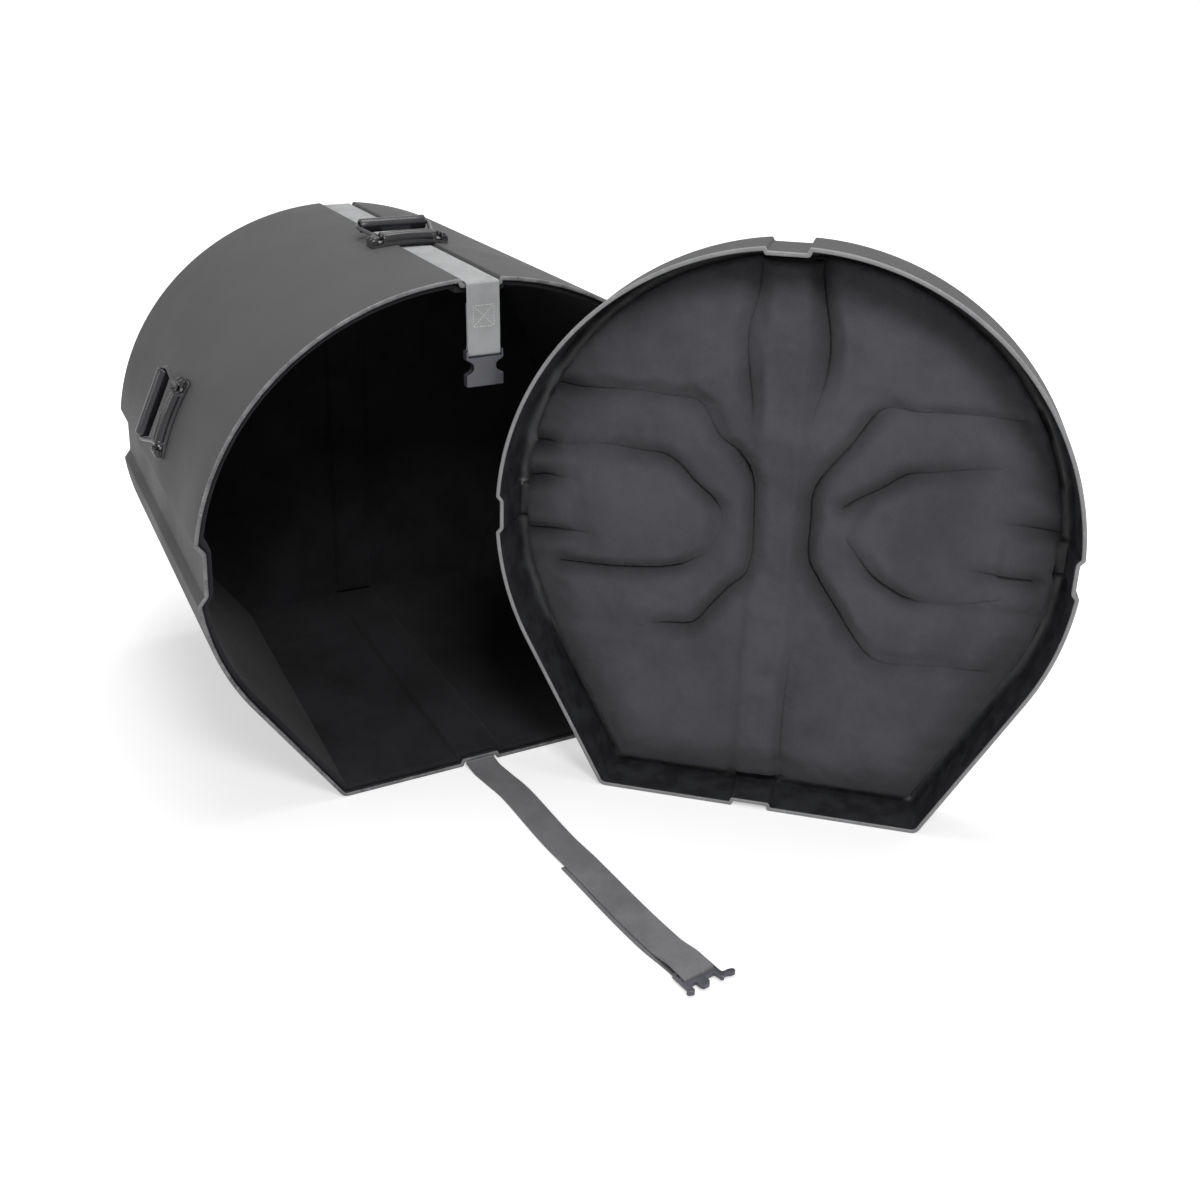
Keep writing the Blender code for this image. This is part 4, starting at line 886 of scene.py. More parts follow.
# pressed lines of the lid's pad, as (x, z, strength) from one end to the other
lidCreases = {
    "topLeft": [
        (-0.0413, 0.6403, 0.3), (-0.0407, 0.6169, 0.5), (-0.0444, 0.5913, 0.5), (-0.0500, 0.5652, 0.5),
        (-0.0501, 0.5390, 0.6), (-0.0456, 0.5052, 0.8), (-0.0412, 0.4784, 0.6), (-0.0406, 0.4529, 0.0),
    ],
    "topRight": [
        (0.0237, 0.6439, 0.8), (0.0216, 0.6283, 0.9), (0.0263, 0.5966, 1), (0.0332, 0.5644, 1),
        (0.0352, 0.5424, 1), (0.0340, 0.5161, 0.7), (0.0280, 0.4888, 0.2), (0.0226, 0.4650, 0.0),
    ],
    "leftField": [
        (-0.2560, 0.4840, 0.8), (-0.2380, 0.4815, 0.8), (-0.2153, 0.4820, 0.6), (-0.1757, 0.4836, 0.4),
        (-0.1365, 0.4813, 0.4), (-0.1073, 0.4793, 0.5), (-0.0934, 0.4695, 0.4), (-0.0764, 0.4413, 0.5),
        (-0.0561, 0.4253, 0.8), (-0.0413, 0.4065, 1), (-0.0342, 0.3868, 1), (-0.0314, 0.3453, 0.8),
        (-0.0307, 0.3069, 0.6), (-0.0380, 0.2776, 0.8), (-0.0577, 0.2551, 1), (-0.0768, 0.2299, 1),
        (-0.0955, 0.2063, 1), (-0.1255, 0.2024, 0.7), (-0.1572, 0.2007, 0.0),
    ],
    "rightField": [
        (0.2437, 0.4895, 0.1), (0.1706, 0.4894, 0.2), (0.1244, 0.4892, 0.2), (0.0975, 0.4881, 0.5),
        (0.0830, 0.4710, 0.9), (0.0689, 0.4462, 0.8), (0.0476, 0.4161, 0.8), (0.0370, 0.3996, 1),
        (0.0304, 0.3796, 1), (0.0307, 0.3485, 1), (0.0320, 0.3062, 1), (0.0466, 0.2778, 1),
        (0.0671, 0.2476, 1), (0.0878, 0.2171, 0.9), (0.1119, 0.1935, 0.5), (0.1437, 0.1905, 0.3),
        (0.1901, 0.1935, 0.3), (0.2437, 0.1945, 0.2),
    ],
    "leftTongueTop": [
        (-0.2550, 0.4138, 0.3), (-0.2061, 0.4180, 0.4), (-0.1819, 0.4163, 0.6), (-0.1577, 0.4139, 0.7),
        (-0.1377, 0.4119, 0.9), (-0.1195, 0.4023, 1), (-0.1008, 0.3844, 1), (-0.0791, 0.3642, 1),
        (-0.0692, 0.3493, 0.4), (-0.0700, 0.3279, 0.3), (-0.0825, 0.3004, 0.2),
    ],
    "leftTongueLow": [
        (-0.0825, 0.3004, 0.2), (-0.1002, 0.2872, 0.6), (-0.1202, 0.2771, 1), (-0.1614, 0.2691, 1),
        (-0.2076, 0.2659, 1), (-0.2544, 0.2662, 0.9),
    ],
    "rightTongueTop": [
        (0.0662, 0.3706, 0.9), (0.0845, 0.3846, 0.9), (0.1054, 0.3983, 0.9), (0.1277, 0.4144, 0.9),
        (0.1542, 0.4216, 0.5), (0.1859, 0.4278, 0.5), (0.2221, 0.4341, 0.2),
    ],
    "rightTongueLow": [
        (0.0691, 0.3406, 0.0), (0.0877, 0.3155, 0.4), (0.1052, 0.2942, 0.9), (0.1239, 0.2816, 1),
        (0.1442, 0.2714, 0.9), (0.1728, 0.2710, 0.2), (0.2433, 0.2870, 0.1),
    ],
    "leftFolds": [
        (-0.2907, 0.4126, 0.9), (-0.2741, 0.4143, 0.9), (-0.2484, 0.4132, 0.0),
    ],
    "leftFoldMiddle": [
        (-0.2966, 0.3704, 1), (-0.2742, 0.3748, 1), (-0.2408, 0.3746, 0.0),
    ],
    "leftFoldLow": [
        (-0.2900, 0.3090, 0.7), (-0.2546, 0.3100, 0.7), (-0.2083, 0.3112, 0.0),
    ],
    "rightFoldLow": [
        (0.1964, 0.3209, 0.0), (0.2269, 0.3144, 0.6), (0.2720, 0.3120, 0.6),
    ],
    "rightFoldHigh": [
        (0.2300, 0.3760, 0.0), (0.2600, 0.3740, 0.6), (0.2900, 0.3720, 0.6),
    ],
    "footCrease": [
        (0.0225, 0.1900, 0.0), (0.0205, 0.1500, 0.35), (0.0193, 0.0942, 0.45), (0.0209, 0.0453, 0.3),
    ],
}
padShape = {
    "line": 0.0022, "lineFrom": 0.0002, "lineDepth": 0.0030, "valley": 0.0200, "valleyDepth": 0.0055,
    "crown": 0.0050, "crownReach": 0.030, "weakAway": 0.03, "run": 0.0170, "fieldGrow": 0.002,
    "ridgeAt": -0.0075, "ridgeHalf": 0.0320, "ridgeRun": 0.0150, "ridgeFoot": 0.002, "ridgeRise": 0.0075,
    # valleyShade, rimShade and backShade are strengths of painted shade; rimReach is how far in from the rim
    # it reaches
    "valleyShade": 0.5, "rimShade": 0.4, "rimReach": 0.055, "backShade": 0.6, "drift": 0.0006,
    "middle": (0.0, 0.33), "edgeStep": 0.005, "ragged": 0.0011, "edgeRound": 0.0030, "edgeDrop": 0.0014,
    "net": 0.0054, "rowOffsets": [0.0, -0.0013, 0.0013, -0.0027, 0.0027, -0.0055, 0.0055], "rowStep": 0.0034,
    "backInset": 0.0048, "backLimits": (-0.02, 0.006), "backGap": 0.0006, "leastThick": 0.002,
}


def smoothLine(knots, steps=6):
    # curve through the knots, whatever numbers each of them holds
    result = []
    last = len(knots) - 1
    for i in range(last):
        a, b, c, d = (np.array(knots[min(max(k, 0), last)], float) for k in (i - 1, i, i + 1, i + 2))
        for k in range(steps):
            t = k / steps
            bend = (2 * a - 5 * b + 4 * c - d) * t * t
            turn = (3 * b - a - 3 * c + d) * t ** 3
            result.append(0.5 * (2 * b + (c - a) * t + bend + turn))
    result.append(np.array(knots[-1], float))
    return result


def creaseMarks(spots):
    # strength-weighted line, valley and distance to the nearest pressed line at each (x, z)
    v = padShape
    line, valley = np.zeros(len(spots)), np.zeros(len(spots))
    nearest = np.full(len(spots), 1.0)
    for knots in lidCreases.values():
        curve = np.array(smoothLine(knots))
        for a, b in zip(curve[:-1], curve[1:]):
            step = b[:2] - a[:2]
            t = np.clip(((spots - a[:2]) @ step) / (step @ step), 0, 1)
            gap = spots - a[:2] - t[:, None] * step
            away = np.hypot(gap[:, 0], gap[:, 1])
            power = np.clip(a[2] + (b[2] - a[2]) * t, 0, 1)
            line = np.maximum(line, power * (1 - ease(away, v["lineFrom"], v["line"])))
            valley = np.maximum(valley, power * (1 - ease(away, 0.0, v["valley"])))
            nearest = np.minimum(nearest, away + v["weakAway"] * (1 - power))
    return line, valley, nearest


def padFront(spots, loop):
    # how far the cloth stands back from the foam's flat level, its pressed lines, and the painted shade on the
    # pressed lines, in the valleys beside them and near the pad's rim
    v, r = padShape, lidRelief
    line, valley, nearest = creaseMarks(spots)
    raised = np.zeros(len(spots))
    for side in (1, -1):
        pad = insideDistance(spots, padLoop(side)) + v["fieldGrow"]
        tongue = insideDistance(spots, tongueLoop(side)) - v["fieldGrow"]
        lift = r["rise"] * ease(pad, -v["run"] * 0.75, v["run"] * 0.25)
        raised += lift * (1 - ease(tongue, -v["run"] * 0.2, v["run"] * 0.9))
    away = np.abs(spots[:, 0] - v["ridgeAt"])
    ridge = 1 - ease(away, v["ridgeHalf"] - v["ridgeRun"], v["ridgeHalf"] + v["ridgeFoot"])
    lift = raised * (1 - ridge) - v["ridgeRise"] * ridge - sideSlot(spots, r["padInset"])
    lift += v["lineDepth"] * line + v["valleyDepth"] * valley
    lift -= v["crown"] * (1 - np.exp(-nearest / v["crownReach"]))
    # painted shadow of the lid's wall along the pad's rim, added to the painted shade of the lines and valleys
    rim = 1 - ease(insideDistance(spots, loop), 0.0, v["rimReach"])
    return lift, line, np.clip(np.maximum(line, v["valleyShade"] * valley) + v["rimShade"] * rim, 0, 1)


clothRun = {
    "frames": 14, "quality": 4, "mass": 0.2, "stretch": 12, "shear": 4, "bending": 0.6,
    "pressure": 1.2, "shrink": -0.012, "leastHeld": 0.02, "cap": 0.0030,
}


def settleCloth(item, held):
    # a short cloth run: the sheet is let out a little between its pressed lines, and puffs up
    v = clothRun
    before = np.array([tuple(p.co) for p in item.data.vertices])
    group = item.vertex_groups.new(name="held")
    for i, weight in enumerate(held):
        if weight > v["leastHeld"]:
            group.add([i], float(weight), "REPLACE")
    cloth = item.modifiers.new("padCloth", "CLOTH")
    settings = cloth.settings
    settings.quality = v["quality"]
    settings.mass = v["mass"]
    settings.tension_stiffness = v["stretch"]
    settings.compression_stiffness = v["stretch"]
    settings.shear_stiffness = v["shear"]
    settings.bending_stiffness = v["bending"]
    settings.vertex_group_mass = "held"
    settings.use_pressure = True
    settings.uniform_pressure_force = -v["pressure"]
    settings.shrink_min = v["shrink"]
    settings.effector_weights.gravity = 0
    cloth.collision_settings.use_collision = False
    for number in range(1, v["frames"] + 1):
        bpy.context.scene.frame_set(number)
    shown = item.evaluated_get(bpy.context.evaluated_depsgraph_get())
    after = np.array([tuple(p.co) for p in shown.data.vertices])
    item.modifiers.remove(cloth)
    bpy.context.scene.frame_set(1)
    move = after - before
    size = np.maximum(np.linalg.norm(move, axis=1), 1e-9)
    most, middle = float(size.max()) * 1000, float(np.median(size)) * 1000
    print("cloth moved up to", round(most, 2), "mm, middle", round(middle, 2), "mm, before the cap")
    return move * np.minimum(1, v["cap"] / size)[:, None]


def twoNoise(spots, coarse, fine, share):
    # two sizes of noise added at each (x, z); coarse and fine are (waves per metre, slice)
    values = []
    for x, z in spots:
        first = noise.noise(Vector((x * coarse[0], z * coarse[0], coarse[1])))
        second = noise.noise(Vector((x * fine[0], z * fine[0], fine[1])))
        values.append(first + share * second)
    return np.array(values)


def padEdge():
    # outline of the pad, a little ragged where it was cut
    v = padShape
    edge = outline(lidForm, lidForm["depth"], shellBuild["liningEdge"])
    edge = resample(edge + edge[:1], v["edgeStep"])[:-1]
    middle = np.array(v["middle"])
    outward = (edge - middle) / np.linalg.norm(edge - middle, axis=1)[:, None]
    wobble = twoNoise(edge, (60, 1.0), (190, 4.0), 0.6) * v["ragged"]
    return [tuple(p) for p in edge + outward * wobble[:, None]]


def padPoints(flat, y, moved, loop):
    # the cloth's points, then as many for the pad's back, which follows the lid's inner skin
    b, v = shellBuild, padShape
    points = [(p[0] + m[0], d + m[1], p[1] + m[2]) for p, d, m in zip(flat, y, moved)]
    skinLevel = lidForm["depth"] - b["wall"] - b["gap"]
    rear = skinLevel + np.clip(lidHeights(flat, loop, v["backInset"]), *v["backLimits"]) - v["backGap"]
    return points + [(p[0], max(d, q[1] + v["leastThick"]), p[1]) for p, d, q in zip(flat, rear, points)]


def padFaces(tris, origins, count, edgeCount):
    # the front net, the same net on the back, and a wall between their edges
    ring = [None] * edgeCount
    for i, origin in enumerate(origins):
        if origin and origin[0] < edgeCount:
            ring[origin[0]] = i
    ring = [i for i in ring if i is not None]
    faces = list(tris) + [tuple(i + count for i in reversed(t)) for t in tris]
    return faces + [(i, j, j + count, i + count) for i, j in zip(ring, ring[1:] + ring[:1])]


def makeLidPad():
    b, v = shellBuild, padShape
    loop = padEdge()
    lines = [[p[:2] for p in smoothLine(knots)] for knots in lidCreases.values()]
    rows = [rowsAlong(line, v["rowOffsets"], v["rowStep"]) for line in lines]
    flat, tris, origins = netInside(loop, rows, v["net"])
    border = np.maximum(insideDistance(flat, loop), 0)
    lift, line, paintedShadeMask = padFront(flat, loop)
    front = lidForm["depth"] - b["wall"] - b["gap"] - b["lidFoam"]
    y = front + lift + twoNoise(flat, (13, 0.3), (31, 2.1), 0.5) * v["drift"]
    edgeTurn = np.clip(1 - border / v["edgeRound"], 0, 1)
    y += v["edgeDrop"] * (1 - np.sqrt(1 - edgeTurn ** 2))
    sheet = newPiece("padSheet", [(p[0], d, p[1]) for p, d in zip(flat, y)], list(tris), [])
    moved = np.zeros((len(flat), 3))
    held = np.maximum(line * 1.2, 1 - ease(border, 0.004, 0.012))
    moved = settleCloth(sheet, np.clip(held, 0, 1))
    bpy.data.objects.remove(sheet, do_unlink=True)
    faces = padFaces(tris, origins, len(flat), len(loop))
    item = newPiece("lidPad", padPoints(flat, y, moved, loop), faces, [mats["brushedLining"]])
    # painted shade for the cloth's front; the pad's back gets an even painted shade
    shades = np.concatenate([paintedShadeMask, np.full(len(flat), v["backShade"])])
    item.data.attributes.new("paintedShade", "FLOAT", "POINT").data.foreach_set("value", shades.astype(np.float32))
    place(item, lidMatrix, "lid", "brushed_lining", "lid_liner")
    return item


lidPad = makeLidPad()
print("lid pad:", len(lidPad.data.polygons), "faces")

web = {"width": 0.0380, "thick": 0.0018, "edgeNear": 0.0003, "edgeFar": 0.0012, "edgeFill": 0.75}


def webProfile():
    # section of the band with rounded selvedges: its upper side, then the lower one
    half, w = web["thick"] / 2, web["width"] / 2
    near, far, low = w - web["edgeNear"], w - web["edgeFar"], half * web["edgeFill"]
    upper = [(-w, 0.0), (-near, low), (-far, half)] + [(w * s, half) for s in (-0.6, -0.2, 0.2, 0.6)]
    upper += [(far, half), (near, low)]
    return upper + [(-u, -v) for u, v in upper]


def band(name, points, sides, body, node, finish="greyWebbing"):
    # flat woven band along the points, with a UV map in metres
    profile = webProfile()
    ring = len(profile)
    verts, along = [], [0.0]
    for i, here in enumerate(points):
        before = points[max(i - 1, 0)]
        after = points[min(i + 1, len(points) - 1)]
        if i:
            along.append(along[-1] + (here - points[i - 1]).length)
        across = sides[i].normalized()
        ahead = after - before
        ahead = (ahead - across * ahead.dot(across)).normalized()
        up = across.cross(ahead)
        verts += [here + across * u + up * v for u, v in profile]
    item = newPiece(name, verts, ringFaces(len(points), ring), [mats[finish]], smooth=60)
    layer = item.data.uv_layers.new(name="web")
    for face in item.data.polygons:
        for corner in face.loop_indices:
            index = item.data.loops[corner].vertex_index
            layer.data[corner].uv = (profile[index % ring][0] + web["width"] / 2, along[index // ring])
    return place(item, tubMatrix, body, "grey_webbing", node)


def arc(centre, radius, first, last, steps):
    # points of a (y, z) arc between two angles in degrees
    turns = [math.radians(first + (last - first) * i / steps) for i in range(steps + 1)]
    return [(centre[0] + radius * math.cos(t), centre[1] + radius * math.sin(t)) for t in turns]


def spaced(path, step):
    # points of a (y, z) path with long straights filled in
    result = [path[0]]
    for p, q in zip(path[:-1], path[1:]):
        count = max(1, int(math.dist(p, q) / step))
        for k in range(1, count + 1):
            result.append((p[0] + (q[0] - p[0]) * k / count, p[1] + (q[1] - p[1]) * k / count))
    return result


strapRoute = {
    "lipRadius": 0.0015, "backBend": 0.0030, "hangShift": 0.0005, "settleRun": 0.12, "ripple": 0.0004,
    "barHeight": 0.5225, "barRadius": 0.0015, "sewn": 0.0550, "plyGap": 0.0004,
    "wrapStep": 0.006, "hangStep": 0.004,
}


def strapLevels():
    # middle of the band where it lies along the tub's top, its foot and its closed face
    b, t = shellBuild, web["thick"] / 2
    top = tubForm["centre"] + tubForm["rise"] - b["channelDepth"] + b["gap"] + t
    foot = b["channelDepth"] - b["gap"] - t
    back = tubForm["depth"] - b["faceChannel"] + b["gap"] + t
    return top, foot, back


def makeTopStrap():
    # from the lip over the top, down the closed face and forward under the foot
    r = strapRoute
    top, foot, back = strapLevels()
    lip = r["lipRadius"] + web["thick"] / 2
    lean = (tubForm["topX"] - tubForm["footX"]) / (top + foot)
    path = arc((0.0, top - lip), lip, 180, 90, 8)
    path += arc((back - r["backBend"], top - r["backBend"]), r["backBend"], 90, 0, 6)
    path += arc((back - r["backBend"], foot + r["backBend"]), r["backBend"], 0, -90, 6)
    path += [(0.0, foot)]
    points = []
    for y, z in spaced(path, r["wrapStep"]):
        shift = r["hangShift"] * max(0.0, 1 - max(y, 0) / r["settleRun"]) if z > top / 2 else 0.0
        ripple = r["ripple"] * math.sin(y * 61) * math.sin(z * 47 + y * 23)
        points.append(Vector((tubForm["footX"] + lean * z + shift + ripple, y, z)))
    return band("topStrap", points, [Vector((1, 0, 0))] * len(points), "case_body", "strap_wrap")


def makeHangingStrap():
    # down from the lip, round the female buckle's bar and back up to be sewn
    r = strapRoute
    top, _, _ = strapLevels()
    half = web["thick"] / 2
    lip = r["lipRadius"] + half
    y, z = -lip, top - lip
    turn = r["barRadius"] + shellBuild["gap"] + half
    ply = web["thick"] + r["plyGap"]
    bar = r["barHeight"]
    path = [(y, z + 0.0006), (y, bar + 0.004)] + arc((y + turn, bar), turn, 180, 360, 16)
    path += [(y + 1.8 * turn, bar + 0.0035), (y + ply + 0.0006, bar + 0.0095)]
    path += [(y + ply, bar + 0.0140), (y + ply, bar + r["sewn"])]
    x = tubForm["topX"] + r["hangShift"]
    points = [Vector((x, p[0], p[1])) for p in spaced(path, r["hangStep"])]
    sides = [Vector((1, 0, 0))] * len(points)
    return band("hangingStrap", points, sides, "top_strap_end", "strap_hanging_end")


makeTopStrap()
makeHangingStrap()
print("fixed webbing made")

# box of pale thread, with a cross in it, that holds the hanging end's fold
boxStitch = {
    "low": 0.5515, "high": 0.5745, "half": 0.0120, "pitch": 0.0031, "first": 0.0004, "length": 0.0024,
    "radius": 0.00038, "flat": 0.8, "proud": 0.0001,
    "rings": ((0.0, 0.25), (0.18, 0.9), (0.82, 0.9), (1.0, 0.25)),  # share of the length, share of the radius
}


def makeBoxStitch():
    v, r = boxStitch, strapRoute
    half = web["thick"] / 2
    x = tubForm["topX"] + r["hangShift"]
    y = -(r["lipRadius"] + half) - half - v["proud"]
    corners = [(-v["half"], v["low"]), (v["half"], v["low"]), (v["half"], v["high"]), (-v["half"], v["high"])]
    runs = list(zip(corners, corners[1:] + corners[:1]))
    runs += [(corners[0], corners[2]), (corners[1], corners[3])]
    verts, faces = [], []
    stitchFaces = ringFaces(len(v["rings"]), 6)
    for a, b in runs:
        a, b = Vector(a), Vector(b)
        way = (b - a).normalized()
        side = Vector((-way.y, way.x))
        for i in range(int((b - a).length / v["pitch"])):
            start = a + way * (i * v["pitch"] + v["first"])
            faces += [tuple(len(verts) + k for k in face) for face in stitchFaces]
            for share, size in v["rings"]:
                spot = start + way * v["length"] * share
                for k in range(6):
                    turn = math.pi * k / 3
                    off = side * math.cos(turn) * v["radius"] * size
                    out = math.sin(turn) * v["radius"] * size * v["flat"]
                    verts.append((x + spot.x + off.x, y - out, spot.y + off.y))
    item = newPiece("boxStitch", verts, faces, [mats["paleThread"]])
    return place(item, tubMatrix, "top_strap_end", "grey_webbing")


makeBoxStitch()
print("stitching made")

# the strap on the floor: knots as (x, y) from the tub's lip to the male buckle
floorRoute = {
    "knots": [
        (-0.0090, -0.0012), (-0.0080, -0.0110), (-0.0060, -0.0240), (-0.0020, -0.0480), (0.0040, -0.0880),
        (0.0080, -0.1810), (0.0150, -0.2690), (0.0220, -0.3500), (0.0300, -0.4150), (0.0340, -0.4566),
    ],
    "drop": 0.0240, "tail": -0.2190, "tailRun": 0.02, "tailShift": 0.0042, "tailEnd": 0.012,
    "plugStart": 0.0174, "plugRun": 0.04, "plugThick": 0.0060, "turn": 0.14, "foldFill": 0.45,
}


def floorLevels():
    # middle of the band: on the floor, on its own tail, and over the plug's bar
    half = web["thick"] / 2
    ply = half + web["thick"] + strapRoute["plyGap"]
    over = web["thick"] + 2 * shellBuild["gap"] + floorRoute["plugThick"] + half
    return half, ply, over


def floorHeight(y, left):
    # height of the band's middle at y, with this far still to go to its end
    r = floorRoute
    foot = strapLevels()[1]
    half, ply, over = floorLevels()
    if y > -r["drop"]:
        share = -y / r["drop"]
        return foot + (half - foot) * share * share * (3 - 2 * share)
    if y > r["tail"] + r["tailRun"]:
        return half
    if y > r["tail"] - r["tailRun"]:
        return half + (ply - half) * (r["tail"] + r["tailRun"] - y) / (2 * r["tailRun"])
    if left > r["plugStart"] + r["plugRun"]:
        return ply
    if left > r["plugStart"]:
        return ply + (over - ply) * float(ease(r["plugStart"] + r["plugRun"] - left, 0, r["plugRun"]))
    return over


def floorAcross(top):
    # direction across the band at each of its points
    across = [Vector((1, 0, 0))]
    for i in range(1, len(top)):
        step = top[min(i + 1, len(top) - 1)] - top[i - 1]
        flat = Vector((step.x, step.y, 0)).normalized()
        across.append(Vector((-flat.y, flat.x, 0)))
    return across


def makeFloorStrap():
    # from under the tub along the floor to the plug, round its bar and back under itself
    r = floorRoute
    half, _, over = floorLevels()
    route = smoothLine(r["knots"], 8)
    end = Vector(route[-1])
    top = [Vector((x, y, floorHeight(y, (end - Vector((x, y))).length))) for x, y in route]
    across = floorAcross(top)
    heading = Vector((math.sin(r["turn"]), -math.cos(r["turn"]), 0))
    turn = (over - half) / 2
    fold = []
    for i in range(1, 12):
        angle = math.pi * i / 12
        spot = Vector((end.x, end.y, half + turn + turn * math.cos(angle)))
        fold.append(spot + heading * r["foldFill"] * turn * math.sin(angle))
    tail, tailSides = [], []
    for p, a in zip(reversed(top), reversed(across)):
        if p.y < r["tail"] - r["tailEnd"]:
            shift = r["tailShift"] * float(ease(p.y, end.y + 0.01, end.y + 0.07))
            tail.append(Vector((p.x - shift, p.y, half)))
            tailSides.append(a)
    sides = across + [Vector((-heading.y, heading.x, 0))] * len(fold) + tailSides
    sides = [s if s.x > 0 else -s for s in sides]
    # the strap on the floor wears the darker copy of the webbing, painted shade
    item = band("floorStrap", top + fold + tail, sides, "floor_strap", "strap_floor_run", "paintedShadeWebbing")
    return item


makeFloorStrap()

# three handles alike: a bowed base with two ridges, ridged caps, rivets, a wire bail and its grip
handleShape = {
    "y": 0.2070, "sideAngle": 23.1, "length": 0.0940, "width": 0.0220, "plate": 0.0045, "bow": 0.3100,
    "sink": -0.0008, "crest": 0.0135, "ridgeAt": 0.0055, "ridgeHalf": 0.0325, "ridgeFill": 0.92,
    "edgeRound": 0.0014, "collar": 0.0040, "collarStep": 0.0008, "armSlot": 0.0070,
    "capStep": 0.0004, "capDrop": 0.0026, "capFoot": 0.001,
    "wire": 0.0024, "pivotOut": 0.0055, "pin": 0.0145, "reach": 0.0535, "out": 0.0125, "bailHalf": 0.0445,
    "knee": 0.0060, "elbow": 0.0120, "bends": [0.0022, 0.0060, 0.0040, 0.0040],
    "gripRadius": 0.0082, "gripLength": 0.0820, "rivetHead": 0.0034, "rivetDome": 0.0018,
}


def handleFrame(angle):
    # X along the handle, Y to the tub's back, Z out of the skin
    v, f = handleShape, tubForm
    halfWidth = f["halfWidth"] - f["draft"] * v["y"] / f["depth"]
    turn = math.atan2(math.sin(angle) / f["rise"], math.cos(angle) / halfWidth)
    out = Vector((math.cos(turn) / halfWidth, 0, math.sin(turn) / f["rise"])).normalized()
    back = Vector((0, 1, 0))
    axes = Matrix((back.cross(out), back, out)).transposed().to_4x4()
    spot = (halfWidth * math.cos(turn), v["y"], f["centre"] + f["rise"] * math.sin(turn))
    return tubMatrix @ Matrix.Translation(spot) @ axes


def bowDrop(u):
    # how far the bowed handle has fallen at u from its middle
    bow = handleShape["bow"]
    return math.sqrt(bow * bow - u * u) - bow


def otherEnd(stations):
    # the same stations at the handle's other end
    return [(-s[0], *s[1:]) for s in reversed(stations)]


def ridgeSection(plateTop, crest, grow, bottom):
    # flat plate with two round ridges on it
    v = handleShape
    half = v["width"] / 2 + grow
    rise = max(crest - plateTop, 0.0)
    radius = v["ridgeAt"] * v["ridgeFill"] + grow / 2
    low = plateTop - v["edgeRound"]
    points = [(-half, bottom), (half, bottom), (half, low), (half - 0.0005, plateTop - 0.0004)]
    for centre in (v["ridgeAt"], -v["ridgeAt"]):
        for k in range(13):
            turn = math.pi * (k + 0.2) / 12.4
            up = rise * max(math.sin(turn), 0.0) ** 0.8
            points.append((centre + radius * math.cos(turn), plateTop + up))
    return points + [(-half + 0.0005, plateTop - 0.0004), (-half, low)]


def ridgedBar(name, stations, material):
    # stations: (place along, top of the plate, top of the ridges, growth all round, bottom)
    verts = []
    for u, plateTop, crest, grow, bottom in stations:
        section = ridgeSection(plateTop, crest, grow, bottom)
        verts += [(u, x, z + bowDrop(u)) for x, z in section]
    return newPiece(name, verts, ringFaces(len(stations), len(section)), [material], smooth=42)


def circlePoints(sides):
    return [(math.cos(2 * math.pi * k / sides), math.sin(2 * math.pi * k / sides)) for k in range(sides)]


def turned(name, profile, sides, material, matrix):
    # solid of revolution about X from an (x, radius) profile; a profile that closes on itself gives a ring
    looped = profile[0] == profile[-1]
    rows = profile[:-1] if looped else profile
    verts = [(x, radius * c, radius * s) for x, radius in rows for c, s in circlePoints(sides)]
    faces = ringFaces(len(rows), sides, capped=not looped)
    if looped:
        faces += bridge((len(rows) - 1) * sides, 0, sides)
    item = newPiece(name, verts, faces, [material], smooth=40)
    item.data.transform(matrix)
    return item


def bentPath(corners, radii, steps=7):
    points = [corners[0]]
    for i in range(1, len(corners) - 1):
        here = corners[i]
        back = (points[-1] - here).normalized()
        ahead = (corners[i + 1] - here).normalized()
        points += cornerArc(here, back, ahead, radii[i - 1], steps)
    return points + [corners[-1]]


def tube(name, points, radius, sides, material):
    verts = []
    across = (points[1] - points[0]).orthogonal().normalized()
    for i, here in enumerate(points):
        along = (points[min(i + 1, len(points) - 1)] - points[max(i - 1, 0)]).normalized()
        across = (across - along * across.dot(along)).normalized()
        up = along.cross(across)
        verts += [here + (across * c + up * s) * radius for c, s in circlePoints(sides)]
    return newPiece(name, verts, ringFaces(len(points), sides), [material])


def handleBase(side, matrix):
    # plate with two ridges, each ending in a collar beside the slots for the bail's arms
    v = handleShape
    half, ridge, plate, crest = v["length"] / 2, v["ridgeHalf"], v["plate"], v["crest"]
    step, sink = v["collarStep"], v["sink"]
    inner = ridge - v["collar"]
    right = [(ridge * 0.86 * i / 9, plate, crest, 0.0, sink) for i in range(10)]
    right += [
        (inner - 0.0002, plate, crest, 0.0, sink),
        (inner + 0.0002, plate, crest + step * 0.6, step * 0.7, sink),
        (inner + 0.0007, plate, crest + step, step, sink), (ridge - 0.0007, plate, crest + step, step, sink),
        (ridge - 0.0001, plate, crest + step * 0.4, step * 0.6, sink),
        (ridge + 0.0001, plate, plate, 0.0, sink), (half - 0.0008, plate, plate, 0.0, sink),
        (half, plate - 0.0006, plate - 0.0006, -0.0006, sink),
    ]
    base = ridgedBar(side + "HandleBase", otherEnd(right[1:]) + right, mats["handlePlastic"])
    return place(base, matrix, "case_body", "handle_plastic", side + "_handle_base")


